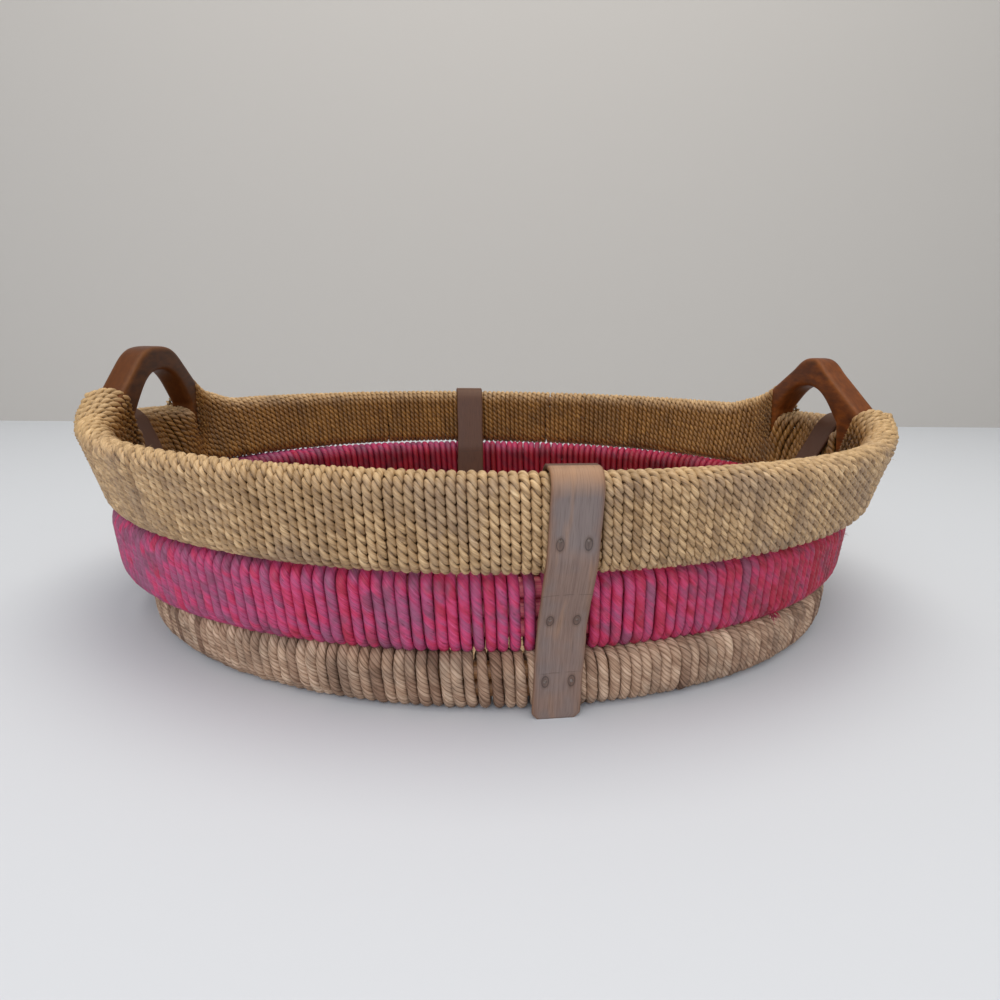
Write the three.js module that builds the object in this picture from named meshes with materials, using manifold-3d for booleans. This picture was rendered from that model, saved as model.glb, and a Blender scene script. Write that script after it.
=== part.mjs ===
import * as THREE from 'three';
import { mergeVertices } from 'three/addons/utils/BufferGeometryUtils.js';
import Module from 'manifold-3d';

// Oval basket tray. Three hoops of bent canes, each wound over with cord, stand one on the other
// and step outward going up. Four bent veneer straps are nailed over them, two arched wooden
// handles are bound into the top hoop, and a woven mat closes the bottom hoop.
// Millimetres. +X runs along the tray, +Z is up, and the origin is on the table under its middle.
// A place round a hoop is a turn: 0 at +X, 0.25 at the back, 0.5 at -X and 0.75 at the front.

const wasm = await Module();
wasm.setup();

// Clearance between pieces that touch
const fit = 0.3;

// Canes, the core of every hoop. A lean is outward, for each mm of height.
const caneSides = 6;
const caneJoint = 0.8; // butt joint between the two ends of a cane

// Top hoop, to the middle of its core
const topHalfLength = 256;
const topHalfWidth = 209;
const topEndLean = 0.38;
const topSideLean = 0.05;
const topCanes = 4;
const topCane = 9.5; // diameter
const topCord = 4.5; // thickness of the cord over the canes
const topRibs = 66;

// Middle hoop, which sits a little towards the left handle
const middleHalfLength = 242;
const middleHalfWidth = 194;
const middleShift = -5;
const middleLean = 0.1;
const middleCanes = 3;
const middleCane = 10.2;
const middleCord = 5.4;
const middleRibs = 54;
const middleGap = 0.8; // between this hoop and the top one

// Bottom hoop
const bottomHalfLength = 227;
const bottomHalfWidth = 194;
const bottomLean = 0.1;
const bottomCanes = 2;
const bottomCane = 9.5;
const bottomCord = 5.4;
const bottomRibs = 46;
const bottomGap = 1; // between this hoop and the middle one
const restFlat = 0.5; // cord pressed flat where the tray stands

// Windings
const ribDepth = 1.1;
const pressedRibDepth = 0.4; // under the bottom hoop
const sectionDrop = 5.5; // rounding of a hoop's section, down its side
const sectionInset = 4.2; // and in along its top
const boreDrop = 2.4; // the same for the bore round the canes
const boreInset = 1.9;
const windingJoint = 3; // between the start and the end of a winding, under the left strap
const bareWidth = 7.5; // where the turns of the middle hoop part and show its canes
const bareFromStrap = 4; // between there and the front strap
const hoopStations = 40; // facets of a core, a bore and the mat
const archSegments = 8; // of each curve of a handle

// Handles: arches cut from plank, whose feet run out along the top hoop. Heights are above the
// hoop's core and half widths are across the tray.
const handleReach = 232; // from the middle of the tray to a handle's inner face
const handleThickness = 16;
const handleEdge = 2.5; // rounding of its edges
const footHalf = 86; // to the tip of the foot
const footTipHeight = 7;
const gripHeight = 6; // where the sides of the opening for the hand start to bend
const heelHalf = 70; // outer side of the heel that goes down inside the canes
const heelWidth = 18;
const heelDepth = 30;
const wedgeDepth = 26; // the turns part in a wedge over the heel
const wedgeHalf = 46; // where the wedge is widest, on top of the hoop
const climbStart = 10; // the winding climbs up to the wedge
const climbTail = 28; // and comes down beyond the tip of the foot
const swellTail = 22; // and narrows on the hand's side of the heel

// The two handles were sawn by eye. The left one has the fuller arch and the thinner bar.
const handleCuts = {
  left: {
    rise: 50.5,
    bar: 16, // depth of the bar over the hand
    crownHalf: 38, // where the crown turns into the straight back of the foot
    crownDrop: 11, // below the top
    gripHalf: 49, // opening for the hand
  },
  right: {
    rise: 48.5,
    bar: 20.5,
    crownHalf: 26,
    crownDrop: 10.5,
    gripHalf: 45,
  },
};

// Straps
const frontStrapWidth = 24.2;
const strapWidth = 25.4; // of the other three
const strapThickness = 2.2;
const strapClip = 3; // clipped corners at the foot
const strapGrip = 4; // straight stretch above and below a nail
const frontStrapShift = 24; // along the hoop, from the middle of the front
const backStrapShift = 14; // along the hoop, from the middle of the back

// Nails, two for each hoop in each strap
const nailSpacing = 13;
const nailDiameter = 1.6;
const nailLength = 16;
const nailTip = 2.5;
const nailHeadDiameter = 3;
const nailHeadThickness = 0.7;
const nailSides = 6;
const topNailCane = 1; // counted up from the lowest
const middleNailCane = 1;
const bottomNailCane = 1;

// Mat
const matThickness = 5;
const matHeight = 7; // of its underside above the table

// Finishes: colour, roughness and metalness
const finishes = {
  topCord: [0xb39b6c, 0.85, 0],
  middleCord: [0xb73d6f, 0.75, 0],
  bottomCord: [0xb0957a, 0.9, 0],
  cane: [0xa4714a, 0.7, 0],
  dyedCane: [0xc04a68, 0.6, 0],
  strap: [0x7d6a5f, 0.7, 0],
  handle: [0x74472a, 0.45, 0],
  nail: [0x4a4643, 0.5, 0.8],
  mat: [0xa88f63, 0.9, 0],
};

// Hoops

// endLean and sideLean are its outward lean at the handles and between them.
function makeHoop({ oval, endLean, sideLean, canes, cane, cord, floor }) {
  const coreHeight = canes * cane + (canes - 1) * fit;
  const wall = cord + fit;
  const height = coreHeight + 2 * wall;
  return {
    oval,
    endLean,
    sideLean,
    canes,
    cane,
    wall,
    coreHeight,
    height,
    width: cane + 2 * wall,
    length: oval.getLength(),
    midZ: floor + height / 2,
    top: floor + height,
  };
}

const bottomHoop = makeHoop({
  oval: new THREE.EllipseCurve(0, 0, bottomHalfLength, bottomHalfWidth),
  endLean: bottomLean,
  sideLean: bottomLean,
  canes: bottomCanes,
  cane: bottomCane,
  cord: bottomCord,
  floor: -restFlat,
});
const middleHoop = makeHoop({
  oval: new THREE.EllipseCurve(middleShift, 0, middleHalfLength, middleHalfWidth),
  endLean: middleLean,
  sideLean: middleLean,
  canes: middleCanes,
  cane: middleCane,
  cord: middleCord,
  floor: bottomHoop.top + bottomGap,
});
const topHoop = makeHoop({
  oval: new THREE.EllipseCurve(0, 0, topHalfLength, topHalfWidth),
  endLean: topEndLean,
  sideLean: topSideLean,
  canes: topCanes,
  cane: topCane,
  cord: topCord,
  floor: middleHoop.top + middleGap,
});

// Point beside the middle of a hoop's core: out is away from the tray, up is above mid height.
function hoopPoint(hoop, turn, out, up) {
  const part = THREE.MathUtils.euclideanModulo(turn, 1);
  const centre = hoop.oval.getPointAt(part);
  const along = hoop.oval.getTangentAt(part);
  const lean = THREE.MathUtils.lerp(hoop.sideLean, hoop.endLean, along.y ** 2);
  const reach = out + lean * up;
  return new THREE.Vector3(
    centre.x + along.y * reach, centre.y - along.x * reach, hoop.midZ + up);
}

function alongHoop(hoop, turn) {
  const along = hoop.oval.getTangentAt(THREE.MathUtils.euclideanModulo(turn, 1));
  return new THREE.Vector3(along.x, along.y, 0);
}

// Turn, near a guess, at which a hoop crosses the upright plane through a point square to an axis.
function turnAt(hoop, point, axis, guess) {
  let low = guess - 0.12;
  let high = guess + 0.12;
  for (let step = 0; step < 40; step += 1) {
    const middle = (low + high) / 2;
    if (hoopPoint(hoop, middle, 0, 0).sub(point).dot(axis) < 0) {
      low = middle;
    } else {
      high = middle;
    }
  }
  return low;
}

// Solids

function toSolid(geometry) {
  const bare = geometry.clone();
  bare.deleteAttribute('normal');
  bare.deleteAttribute('uv');
  const merged = mergeVertices(bare, 1e-4);
  return new wasm.Manifold(new wasm.Mesh({
    numProp: 3,
    vertProperties: new Float32Array(merged.attributes.position.array),
    triVerts: new Uint32Array(merged.index.array),
  }));
}

function toGeometry(solid) {
  const mesh = solid.getMesh();
  const geometry = new THREE.BufferGeometry();
  geometry.setAttribute('position', new THREE.BufferAttribute(mesh.vertProperties, 3));
  geometry.setIndex(new THREE.BufferAttribute(mesh.triVerts, 1));
  return geometry;
}

function cutAll(solid, cutters) {
  return cutters.reduce((left, cutter) => left.subtract(cutter), solid);
}

// Closed tube of rings of points. The last ring joins the first. Where the rows wind round the
// hoop as cord does, the last row joins the first one lead rings further on.
function closedTube(rings, sides, point, lead = 0) {
  const positions = [];
  const index = [];
  for (let i = 0; i < rings; i += 1) {
    for (let j = 0; j < sides; j += 1) {
      positions.push(...point(i, j).toArray());
      const nextSide = (j + 1) % sides;
      const up = i + (nextSide === 0 ? lead : 0);
      const here = i * sides + j;
      const ahead = ((i + 1) % rings) * sides + j;
      const hereUp = THREE.MathUtils.euclideanModulo(up, rings) * sides + nextSide;
      const aheadUp = THREE.MathUtils.euclideanModulo(up + 1, rings) * sides + nextSide;
      index.push(here, ahead, aheadUp, here, aheadUp, hereUp);
    }
  }
  const geometry = new THREE.BufferGeometry();
  geometry.setAttribute('position', new THREE.Float32BufferAttribute(positions, 3));
  geometry.setIndex(index);
  return geometry;
}

// Solid band round a hoop with the same section of [out, up] corners at every station.
function hoopBand(hoop, section) {
  return toSolid(closedTube(hoopStations, section.length, (i, j) =>
    hoopPoint(hoop, i / hoopStations, ...section[j])));
}

// Eight-sided section with rounded corners, from its outer side upward.
function roundedSection(width, height, drop, inset) {
  const side = width / 2;
  const flat = side - inset;
  const cap = height / 2;
  const shoulder = cap - drop;
  return [
    [side, -shoulder], [side, shoulder], [flat, cap], [-flat, cap],
    [-side, shoulder], [-side, -shoulder], [-flat, -cap], [flat, -cap],
  ];
}

function hoopSection(hoop) {
  return roundedSection(hoop.width, hoop.height, sectionDrop, sectionInset);
}

// Box across a hoop, its length along the hoop, that cuts a gap there.
function gapCutter(hoop, turn, [length, width, height], out = 0, up = 0) {
  const box = new THREE.BoxGeometry(length, width, height);
  const along = alongHoop(hoop, turn);
  box.rotateZ(Math.atan2(along.y, along.x));
  box.translate(...hoopPoint(hoop, turn, out, up).toArray());
  return toSolid(box);
}

// Canes

function caneUp(hoop, number) {
  return (hoop.cane - hoop.coreHeight) / 2 + number * (hoop.cane + fit);
}

// The butt joints of a hoop's canes are staggered round it.
function buildCane(hoop, number) {
  const up = caneUp(hoop, number);
  const section = [];
  for (let j = 0; j < caneSides; j += 1) {
    const angle = (j + 0.5) * 2 * Math.PI / caneSides;
    const radius = hoop.cane / 2;
    section.push([radius * Math.cos(angle), up + radius * Math.sin(angle)]);
  }
  const jointTurn = 0.37 + 0.19 * number;
  const joint = gapCutter(hoop, jointTurn, [caneJoint, hoop.width, hoop.cane + fit], 0, up);
  return hoopBand(hoop, section).subtract(joint);
}

// Handles

const coreTop = topHoop.midZ + topHoop.coreHeight / 2;
const heelInner = heelHalf - heelWidth;

// Top of a handle's foot above the core, straight from the crown down to the tip.
function footHeight({ rise, crownHalf, crownDrop }, across) {
  const crown = rise - crownDrop;
  const slope = (crown - footTipHeight) / (footHalf - crownHalf);
  return Math.max(crown - slope * (across - crownHalf), footTipHeight);
}

// Right half of the arch with its foot, looking along the tray: from the top of the crown round
// the foot and the heel to the top of the grip. x is across the tray, y up from the core's top.
function archHalf(cut) {
  const { rise, bar, crownHalf, crownDrop, gripHalf } = cut;
  const crown = rise - crownDrop;
  const slope = crown - footHeight(cut, crownHalf + 1);
  const gripTop = rise - bar;
  const path = new THREE.Path();
  path.moveTo(0, rise);
  path.bezierCurveTo(crownHalf / 2, rise, crownHalf * 2 / 3, crown + slope * crownHalf / 3,
    crownHalf, crown);
  path.lineTo(footHalf, footTipHeight);
  path.lineTo(footHalf, -footTipHeight);
  path.lineTo(heelHalf, -footTipHeight);
  path.lineTo(heelHalf, -heelDepth);
  path.lineTo(heelInner, -heelDepth);
  path.lineTo(gripHalf, gripHeight);
  path.bezierCurveTo(gripHalf * 2 / 3, gripTop * 2 / 3, gripHalf / 2, gripTop, 0, gripTop);
  return path.getPoints(archSegments);
}

function archShape(cut) {
  const half = archHalf(cut);
  const mirrored = half.slice(1, -1).map((p) => new THREE.Vector2(-p.x, p.y)).reverse();
  return new THREE.Shape([...half, ...mirrored]);
}

// Stands a shape that is drawn across the tray at the right end, its depth along the tray.
function standAtRight(geometry, reach) {
  geometry.rotateX(Math.PI / 2);
  geometry.rotateZ(Math.PI / 2);
  geometry.translate(reach, 0, coreTop);
  return toSolid(geometry);
}

// Plank with rounded edges at the right end, or the same grown all round by a clearance.
function handlePlank(cut, grow) {
  const plank = new THREE.ExtrudeGeometry(archShape(cut), {
    depth: handleThickness - 2 * handleEdge,
    bevelThickness: handleEdge + grow,
    bevelSize: handleEdge + grow,
    bevelOffset: -handleEdge,
    bevelSegments: 2,
  });
  return standAtRight(plank, handleReach + handleEdge);
}

// All that lies outward of a line inside the top hoop's core and below a height over its middle.
function coreRegion(inside, above) {
  const low = -topHoop.height;
  const far = topHoop.width + 3 * handleThickness;
  return hoopBand(topHoop, [[far, low], [far, above], [inside, above], [inside, low]]);
}

const caneClear = topCane / 2 + fit;
const coreClear = topHoop.coreHeight / 2 + fit;
const bite = 0.15; // the pockets reach this far into the bore, so that they open into it

// The feet stand on the top cane, and the heels are lapped over the inner side of the canes.
function buildHandle(cut) {
  return handlePlank(cut, 0).subtract(coreRegion(-caneClear, coreClear));
}

function handlePocket(cut) {
  return handlePlank(cut, fit).subtract(coreRegion(bite - caneClear, coreClear - bite));
}

// The turns over a foot part from those between the feet in a wedge that shows the heel.
const wedgeEdge = heelHalf - handleEdge;

function wedgeCutter(side) {
  const above = topHoop.height;
  const wedge = new THREE.Shape([
    new THREE.Vector2(side * wedgeEdge, -wedgeDepth),
    new THREE.Vector2(side * wedgeEdge, above),
    new THREE.Vector2(side * wedgeHalf, above),
    new THREE.Vector2(side * wedgeHalf, 0),
  ]);
  const depth = topHoop.width + handleThickness;
  const prism = new THREE.ExtrudeGeometry(wedge, { depth, bevelEnabled: false });
  return standAtRight(prism, handleReach + handleEdge - depth);
}

// What a handle takes out of the top winding at the right end.
function handleCutters(cut) {
  return [handlePocket(cut), wedgeCutter(1), wedgeCutter(-1)];
}

// Windings

// The winding swells round a handle's feet: it climbs over them, and its sides stand off theirs.
function topForm(turn, out, up) {
  const across = Math.abs(hoopPoint(topHoop, turn, 0, 0).y);
  const facing = Math.abs(alongHoop(topHoop, turn).y);
  const tail = 1 - THREE.MathUtils.smoothstep(across, footHalf, footHalf + climbTail);
  const start = THREE.MathUtils.smoothstep(across, wedgeEdge - climbStart, wedgeEdge);
  const narrow = THREE.MathUtils.smoothstep(across, heelInner - swellTail, heelInner);
  const cut = hoopPoint(topHoop, turn, 0, 0).x > 0 ? handleCuts.right : handleCuts.left;
  const height = up > 0 ? up + footHeight(cut, across) * tail * start : up;
  const centre = Math.abs(hoopPoint(topHoop, turn, 0, height).x);
  const corner = topHoop.width / 2 - Math.abs(out);
  if (out < 0) {
    const clear = corner - topHoop.wall - (centre - handleReach) * facing;
    return [out + Math.min(0, clear - out) * narrow * tail, height];
  }
  const clear = topHoop.wall + (handleReach + handleThickness - centre) * facing - corner;
  return [out + Math.max(0, clear - out) * start * tail, height];
}

function plainForm(turn, out, up) {
  return [out, up];
}

// One unbroken ribbed winding: a rib climbs once round the section while it moves on by itself.
function windingSkin(hoop, ribs, underDepth, form) {
  const rings = ribs * 2;
  const lead = -2; // the cord goes on round the hoop as it comes down the outer side
  const section = hoopSection(hoop);
  const point = (i, j) => {
    const turn = (i + lead * j / section.length) / rings;
    const [side, rise] = section[j];
    const [out, up] = form(turn, side, rise);
    const trough = i % 2;
    const onSide = Math.abs(side) === hoop.width / 2;
    const capDepth = rise < 0 ? underDepth : ribDepth;
    return hoopPoint(
      hoop,
      turn,
      out - Math.sign(side) * (onSide ? trough * ribDepth : 0),
      up - Math.sign(rise) * (onSide ? 0 : trough * capDepth),
    );
  };
  return toSolid(closedTube(rings, section.length, point, lead));
}

function windingBore(hoop) {
  const width = hoop.cane + 2 * fit;
  const height = hoop.coreHeight + 2 * fit;
  return hoopBand(hoop, roundedSection(width, height, boreDrop, boreInset));
}

function buildWinding(hoop, skin, cutters) {
  const joint = gapCutter(hoop, 0.5, [windingJoint, hoop.width * 2, hoop.height * 1.5]);
  return cutAll(skin, [windingBore(hoop), joint, ...cutters]);
}

// The table presses the lowest turns flat.
function tableCutter() {
  const size = 4 * bottomHalfLength;
  const slab = new THREE.BoxGeometry(size, size, matHeight);
  slab.translate(0, 0, -matHeight / 2);
  return toSolid(slab);
}

// Straps

const matTop = matHeight + matThickness;

// A strap lies in an upright plane square to the top hoop. In its own frame x is away from the
// tray, y is up, and z is along the hoop.
function strapFrame(turn, width) {
  const base = hoopPoint(topHoop, turn, 0, 0).setZ(0);
  const along = alongHoop(topHoop, turn);
  const outward = new THREE.Vector3(along.y, -along.x, 0);
  const up = new THREE.Vector3(0, 0, 1);
  const toWorld = new THREE.Matrix4().makeBasis(outward, up, outward.clone().cross(up));
  toWorld.setPosition(base);
  return { base, along, toWorld, turn, width };
}

// Corners of a hoop's section across a strap's width, in the strap's frame.
function cornersInFrame(hoop, frame) {
  const middle = turnAt(hoop, frame.base, frame.along, frame.turn);
  const reach = frame.width / 2 / hoop.length;
  const toFrame = frame.toWorld.clone().invert();
  return [middle - reach, middle, middle + reach].flatMap((turn) =>
    hoopSection(hoop).map((corner) => {
      const place = hoopPoint(hoop, turn, ...corner).applyMatrix4(toFrame);
      return new THREE.Vector2(place.x, place.y);
    }));
}

// Points nearer than this count as one in a strap's line.
const nearby = 0.5;

// Taut line from one point to another that keeps all the others on its left.
function tautLine(from, to, others) {
  const line = [from];
  let heading = 0;
  while (line.at(-1) !== to) {
    const here = line.at(-1);
    const ways = [...others, to].filter((p) => p.distanceTo(here) > nearby).map((p) => {
      const angle = p.clone().sub(here).angle();
      return { p, angle, turning: THREE.MathUtils.euclideanModulo(angle - heading, 2 * Math.PI) };
    });
    const next = ways.reduce((best, way) => (way.turning < best.turning ? way : best));
    heading = next.angle;
    line.push(next.p);
  }
  return line;
}

// Parallel of an open line of points, on its right, with mitred corners and its ends kept level.
function parallel(line, distance) {
  const last = line.length - 1;
  return line.map((p, i) => {
    const into = p.clone().sub(line[Math.max(i, 1) - 1]).normalize();
    const onward = line[Math.min(i, last - 1) + 1].clone().sub(p).normalize();
    if (i === 0) {
      return new THREE.Vector2(p.x + distance / onward.y, p.y);
    }
    if (i === last) {
      return new THREE.Vector2(p.x + distance / into.y, p.y);
    }
    const middle = into.clone().add(onward).normalize();
    const mitre = distance / middle.dot(into);
    return new THREE.Vector2(p.x + middle.y * mitre, p.y - middle.x * mitre);
  });
}

function nailHeight(hoop, cane) {
  return hoop.midZ + caneUp(hoop, cane);
}

// Line of a strap's inner face: nailed against the bottom and the middle hoop, then taut over the
// top hoop and down inside to the mat.
function strapLine(frame) {
  const bottom = cornersInFrame(bottomHoop, frame);
  const middle = cornersInFrame(middleHoop, frame);
  const top = cornersInFrame(topHoop, frame);
  const outside = (points) => Math.max(...points.map((p) => p.x));
  const inside = (points) => Math.min(...points.map((p) => p.x));
  const bottomNail = nailHeight(bottomHoop, bottomNailCane);
  const middleNail = nailHeight(middleHoop, middleNailCane);
  const foot = new THREE.Vector2(outside(bottom), 0);
  const bottomGrip = new THREE.Vector2(outside(bottom), bottomNail + strapGrip);
  const middleGripLow = new THREE.Vector2(outside(middle), middleNail - strapGrip);
  const middleGrip = new THREE.Vector2(outside(middle), middleNail + strapGrip);
  const toe = new THREE.Vector2(inside(bottom), matTop);
  const lower = [...bottom, ...middle].filter(
    (p) => p.y > bottomGrip.y && p.y < middleGripLow.y);
  const upper = [...bottom, ...middle, ...top].filter((p) => p.y > matTop);
  const line = [
    foot,
    ...tautLine(bottomGrip, middleGripLow, lower),
    ...tautLine(middleGrip, toe, upper),
  ];
  const spaced = line.filter((p, i) => i === 0 || p === toe || p.distanceTo(line[i - 1]) > nearby);
  const clear = parallel(spaced, fit);
  clear.at(-1).y += fit;
  return clear;
}

// Hole for a nail, or for all nails of a hoop and a strap, in the strap's frame.
function nailHoles(places) {
  const radius = nailDiameter / 2 + fit;
  return places.map(([x, y, z]) => {
    const hole = new THREE.CylinderGeometry(radius, radius, nailLength + 2 * fit, nailSides);
    hole.rotateZ(-Math.PI / 2);
    hole.translate(x - nailLength / 2, y, z);
    return hole;
  });
}

function buildStrapBand(line, places, width) {
  const outer = parallel(line, strapThickness);
  const shape = new THREE.Shape([...outer, ...line.toReversed()]);
  const band = new THREE.ExtrudeGeometry(shape, { depth: width, bevelEnabled: false });
  band.translate(0, 0, -width / 2);
  const clips = [-1, 1].map((side) => {
    const clip = new THREE.BoxGeometry(
      8 * strapThickness, strapClip * Math.SQRT2, strapClip * Math.SQRT2);
    clip.rotateX(Math.PI / 4);
    clip.translate(line[0].x, 0, side * width / 2);
    return toSolid(clip);
  });
  return cutAll(toSolid(band), [...clips, ...nailHoles(places).map(toSolid)]);
}

// Outer face of a strap at a height: where its outer line, going up from the foot, passes it.
function faceAt(line, height) {
  const outer = parallel(line, strapThickness);
  const next = outer.findIndex((p) => p.y > height);
  const a = outer[next - 1];
  const b = outer[next];
  return a.x + (b.x - a.x) * (height - a.y) / (b.y - a.y);
}

// The face a nail's head rests on: the outermost of the strap under the head.
function headFace(line, height) {
  const head = nailHeadDiameter / 2;
  return Math.max(faceAt(line, height - head), faceAt(line, height + head));
}

function nailGeometry() {
  const radius = nailDiameter / 2;
  const head = nailHeadDiameter / 2;
  return new THREE.LatheGeometry([
    new THREE.Vector2(0, -nailLength),
    new THREE.Vector2(radius, nailTip - nailLength),
    new THREE.Vector2(radius, 0),
    new THREE.Vector2(head, 0),
    new THREE.Vector2(head * 0.8, nailHeadThickness),
    new THREE.Vector2(0, nailHeadThickness),
  ], nailSides);
}

// Two nails for each hoop.
function nailPlaces(line) {
  const heights = [
    nailHeight(bottomHoop, bottomNailCane),
    nailHeight(middleHoop, middleNailCane),
    nailHeight(topHoop, topNailCane),
  ];
  return heights.flatMap((height) => [-1, 1].map((side) =>
    [headFace(line, height) + fit, height, side * nailSpacing / 2]));
}

// Mat

function buildMat() {
  const rim = [];
  const out = -bottomHoop.width / 2 - fit;
  const up = matHeight - bottomHoop.midZ;
  for (let i = 0; i < hoopStations; i += 1) {
    const edge = hoopPoint(bottomHoop, i / hoopStations, out, up);
    rim.push(new THREE.Vector2(edge.x, edge.y));
  }
  return new THREE.ExtrudeGeometry(new THREE.Shape(rim), {
    depth: matThickness,
    bevelEnabled: false,
  });
}

// Assembly

function makeMesh(name, geometry, finish) {
  const [color, roughness, metalness] = finishes[finish];
  const shaded = geometry.index ? geometry.toNonIndexed() : geometry;
  shaded.computeVertexNormals();
  const material = new THREE.MeshStandardMaterial({ color, roughness, metalness });
  const mesh = new THREE.Mesh(shaded, material);
  mesh.name = name;
  return mesh;
}

const tray = new THREE.Group();

// Turn and width of each strap
const strapPlaces = {
  front: [0.75 + frontStrapShift / topHoop.length, frontStrapWidth],
  back: [0.25 + backStrapShift / topHoop.length, strapWidth],
  left: [0.5, strapWidth],
  right: [0, strapWidth],
};
const holes = [];
for (const [side, place] of Object.entries(strapPlaces)) {
  const frame = strapFrame(...place);
  const line = strapLine(frame);
  const places = nailPlaces(line);
  const strap = new THREE.Group();
  strap.applyMatrix4(frame.toWorld);
  strap.add(makeMesh(`${side}_strap`, toGeometry(buildStrapBand(line, places, frame.width)), 'strap'));
  const levels = ['bottom', 'bottom', 'middle', 'middle', 'top', 'top'];
  places.forEach((place, i) => {
    const nail = makeMesh(`${side}_nail_${levels[i]}_${i % 2 + 1}`, nailGeometry(), 'nail');
    nail.rotation.z = -Math.PI / 2;
    nail.position.set(...place);
    strap.add(nail);
  });
  tray.add(strap);
  for (const hole of nailHoles(places)) {
    holes.push(toSolid(hole.applyMatrix4(frame.toWorld)));
  }
}

const front = strapFrame(...strapPlaces.front);
const bareTurn = turnAt(middleHoop, front.base, front.along, front.turn)
  - (front.width / 2 + bareFromStrap + bareWidth / 2) / middleHoop.length;
const bareCutter = gapCutter(
  middleHoop, bareTurn, [bareWidth, middleHoop.width, middleHoop.height], middleHoop.width / 2);
const handleCutouts = [
  ...handleCutters(handleCuts.right),
  ...handleCutters(handleCuts.left).map((cutter) => cutter.rotate([0, 0, 180])),
];

const windings = {
  top: buildWinding(
    topHoop, windingSkin(topHoop, topRibs, ribDepth, topForm),
    [...handleCutouts, ...holes]),
  middle: buildWinding(
    middleHoop, windingSkin(middleHoop, middleRibs, ribDepth, plainForm),
    [bareCutter, ...holes]),
  bottom: buildWinding(
    bottomHoop, windingSkin(bottomHoop, bottomRibs, pressedRibDepth, plainForm),
    [tableCutter(), ...holes]),
};

const levels = { top: topHoop, middle: middleHoop, bottom: bottomHoop };
for (const [level, hoop] of Object.entries(levels)) {
  tray.add(makeMesh(`${level}_winding`, toGeometry(windings[level]), `${level}Cord`));
  const finish = level === 'middle' ? 'dyedCane' : 'cane';
  for (let number = 0; number < hoop.canes; number += 1) {
    const cane = cutAll(buildCane(hoop, number), holes);
    tray.add(makeMesh(`${level}_cane_${number + 1}`, toGeometry(cane), finish));
  }
}

for (const [side, angle] of [['right', 0], ['left', Math.PI]]) {
  const solid = buildHandle(handleCuts[side]);
  const handle = makeMesh(`${side}_handle`, toGeometry(solid), 'handle');
  handle.rotation.z = angle;
  tray.add(handle);
}

const mat = makeMesh('base_mat', buildMat(), 'mat');
mat.position.z = matHeight;
tray.add(mat);

export default tray;
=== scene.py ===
# %% [markdown]
# # An oval basket tray, wound with cord
#
# The real tray is three oval hoops. Each hoop is a stack of bent canes with one long cord
# wound round it some hundreds of times. The hoops stand one on the other and step outward
# going up. Four thin wooden straps are nailed over them, an arched wooden handle is bound
# into the top hoop at each end, and a woven mat closes the bottom.
#
# Most of what the eye reads here is cord, so most of this lesson winds cord. A picture of
# cord on a plain ring would look flat at the rim and at every step between the hoops, so
# the cords are real tubes. Each one is a path worked out by numpy, with a tube round it.

import math

import bpy
import numpy as np
from mathutils import Matrix, Vector


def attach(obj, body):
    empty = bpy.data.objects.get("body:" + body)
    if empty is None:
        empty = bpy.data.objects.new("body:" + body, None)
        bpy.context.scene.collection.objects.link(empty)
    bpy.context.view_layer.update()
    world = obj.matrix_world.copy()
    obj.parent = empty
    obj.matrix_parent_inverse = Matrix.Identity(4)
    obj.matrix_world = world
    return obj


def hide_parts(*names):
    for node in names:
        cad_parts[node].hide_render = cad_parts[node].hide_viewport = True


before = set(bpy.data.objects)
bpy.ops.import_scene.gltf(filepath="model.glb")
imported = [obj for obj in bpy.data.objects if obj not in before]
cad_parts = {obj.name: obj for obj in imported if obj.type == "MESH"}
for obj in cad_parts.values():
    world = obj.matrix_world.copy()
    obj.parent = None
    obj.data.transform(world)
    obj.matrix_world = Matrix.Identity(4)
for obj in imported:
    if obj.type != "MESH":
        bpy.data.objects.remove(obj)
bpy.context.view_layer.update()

# %% [markdown]
# ## Camera
#
# The photograph was taken from a little above the tray and slightly left of its middle.
# The position and the focal length were solved from the outlines of the three hoops.
# `CAMERA_F` is the focal length in pixels of a frame 1000 pixels wide, so the lens is
# `CAMERA_F / 1000` times the width of the sensor.

# %% Camera
CAMERA_PLACE = (-0.02823, -0.51160, 0.18249)
CAMERA_F, FRAME_WIDTH, SENSOR_MM = 702.1, 1000, 36
CAMERA_PITCH, CAMERA_YAW, CAMERA_ROLL = np.radians([13.52, 3.77, 0.89])


def into_scene(name, data):
    """A new object with this data, linked to the scene."""
    thing = bpy.data.objects.new(name, data)
    bpy.context.scene.collection.objects.link(thing)
    return thing


def camera_axes(pitch, yaw, roll):
    """Right, up and forward of a camera that looks along +Y, turned by yaw to the right,
    pitch downward and roll about its own view."""
    forward = np.array([
        math.sin(yaw) * math.cos(pitch), math.cos(yaw) * math.cos(pitch), -math.sin(pitch)])
    level = np.array([math.cos(yaw), -math.sin(yaw), 0.0])
    upright = np.cross(level, forward)
    right = level * math.cos(roll) + upright * math.sin(roll)
    return right, -level * math.sin(roll) + upright * math.cos(roll), forward


right, up, forward = camera_axes(CAMERA_PITCH, CAMERA_YAW, CAMERA_ROLL)
camera = into_scene("camera", bpy.data.cameras.new("camera"))
camera.data.sensor_width = SENSOR_MM
camera.data.lens = CAMERA_F / FRAME_WIDTH * SENSOR_MM
camera.data.clip_start = 0.01
turned = np.eye(4)
turned[:3] = np.stack([right, up, -forward, CAMERA_PLACE], 1)
camera.matrix_world = Matrix(turned.tolist())
bpy.context.scene.camera = camera
bpy.context.scene.view_settings.view_transform = "Standard"
print("lens", round(camera.data.lens, 2), "mm")

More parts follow.
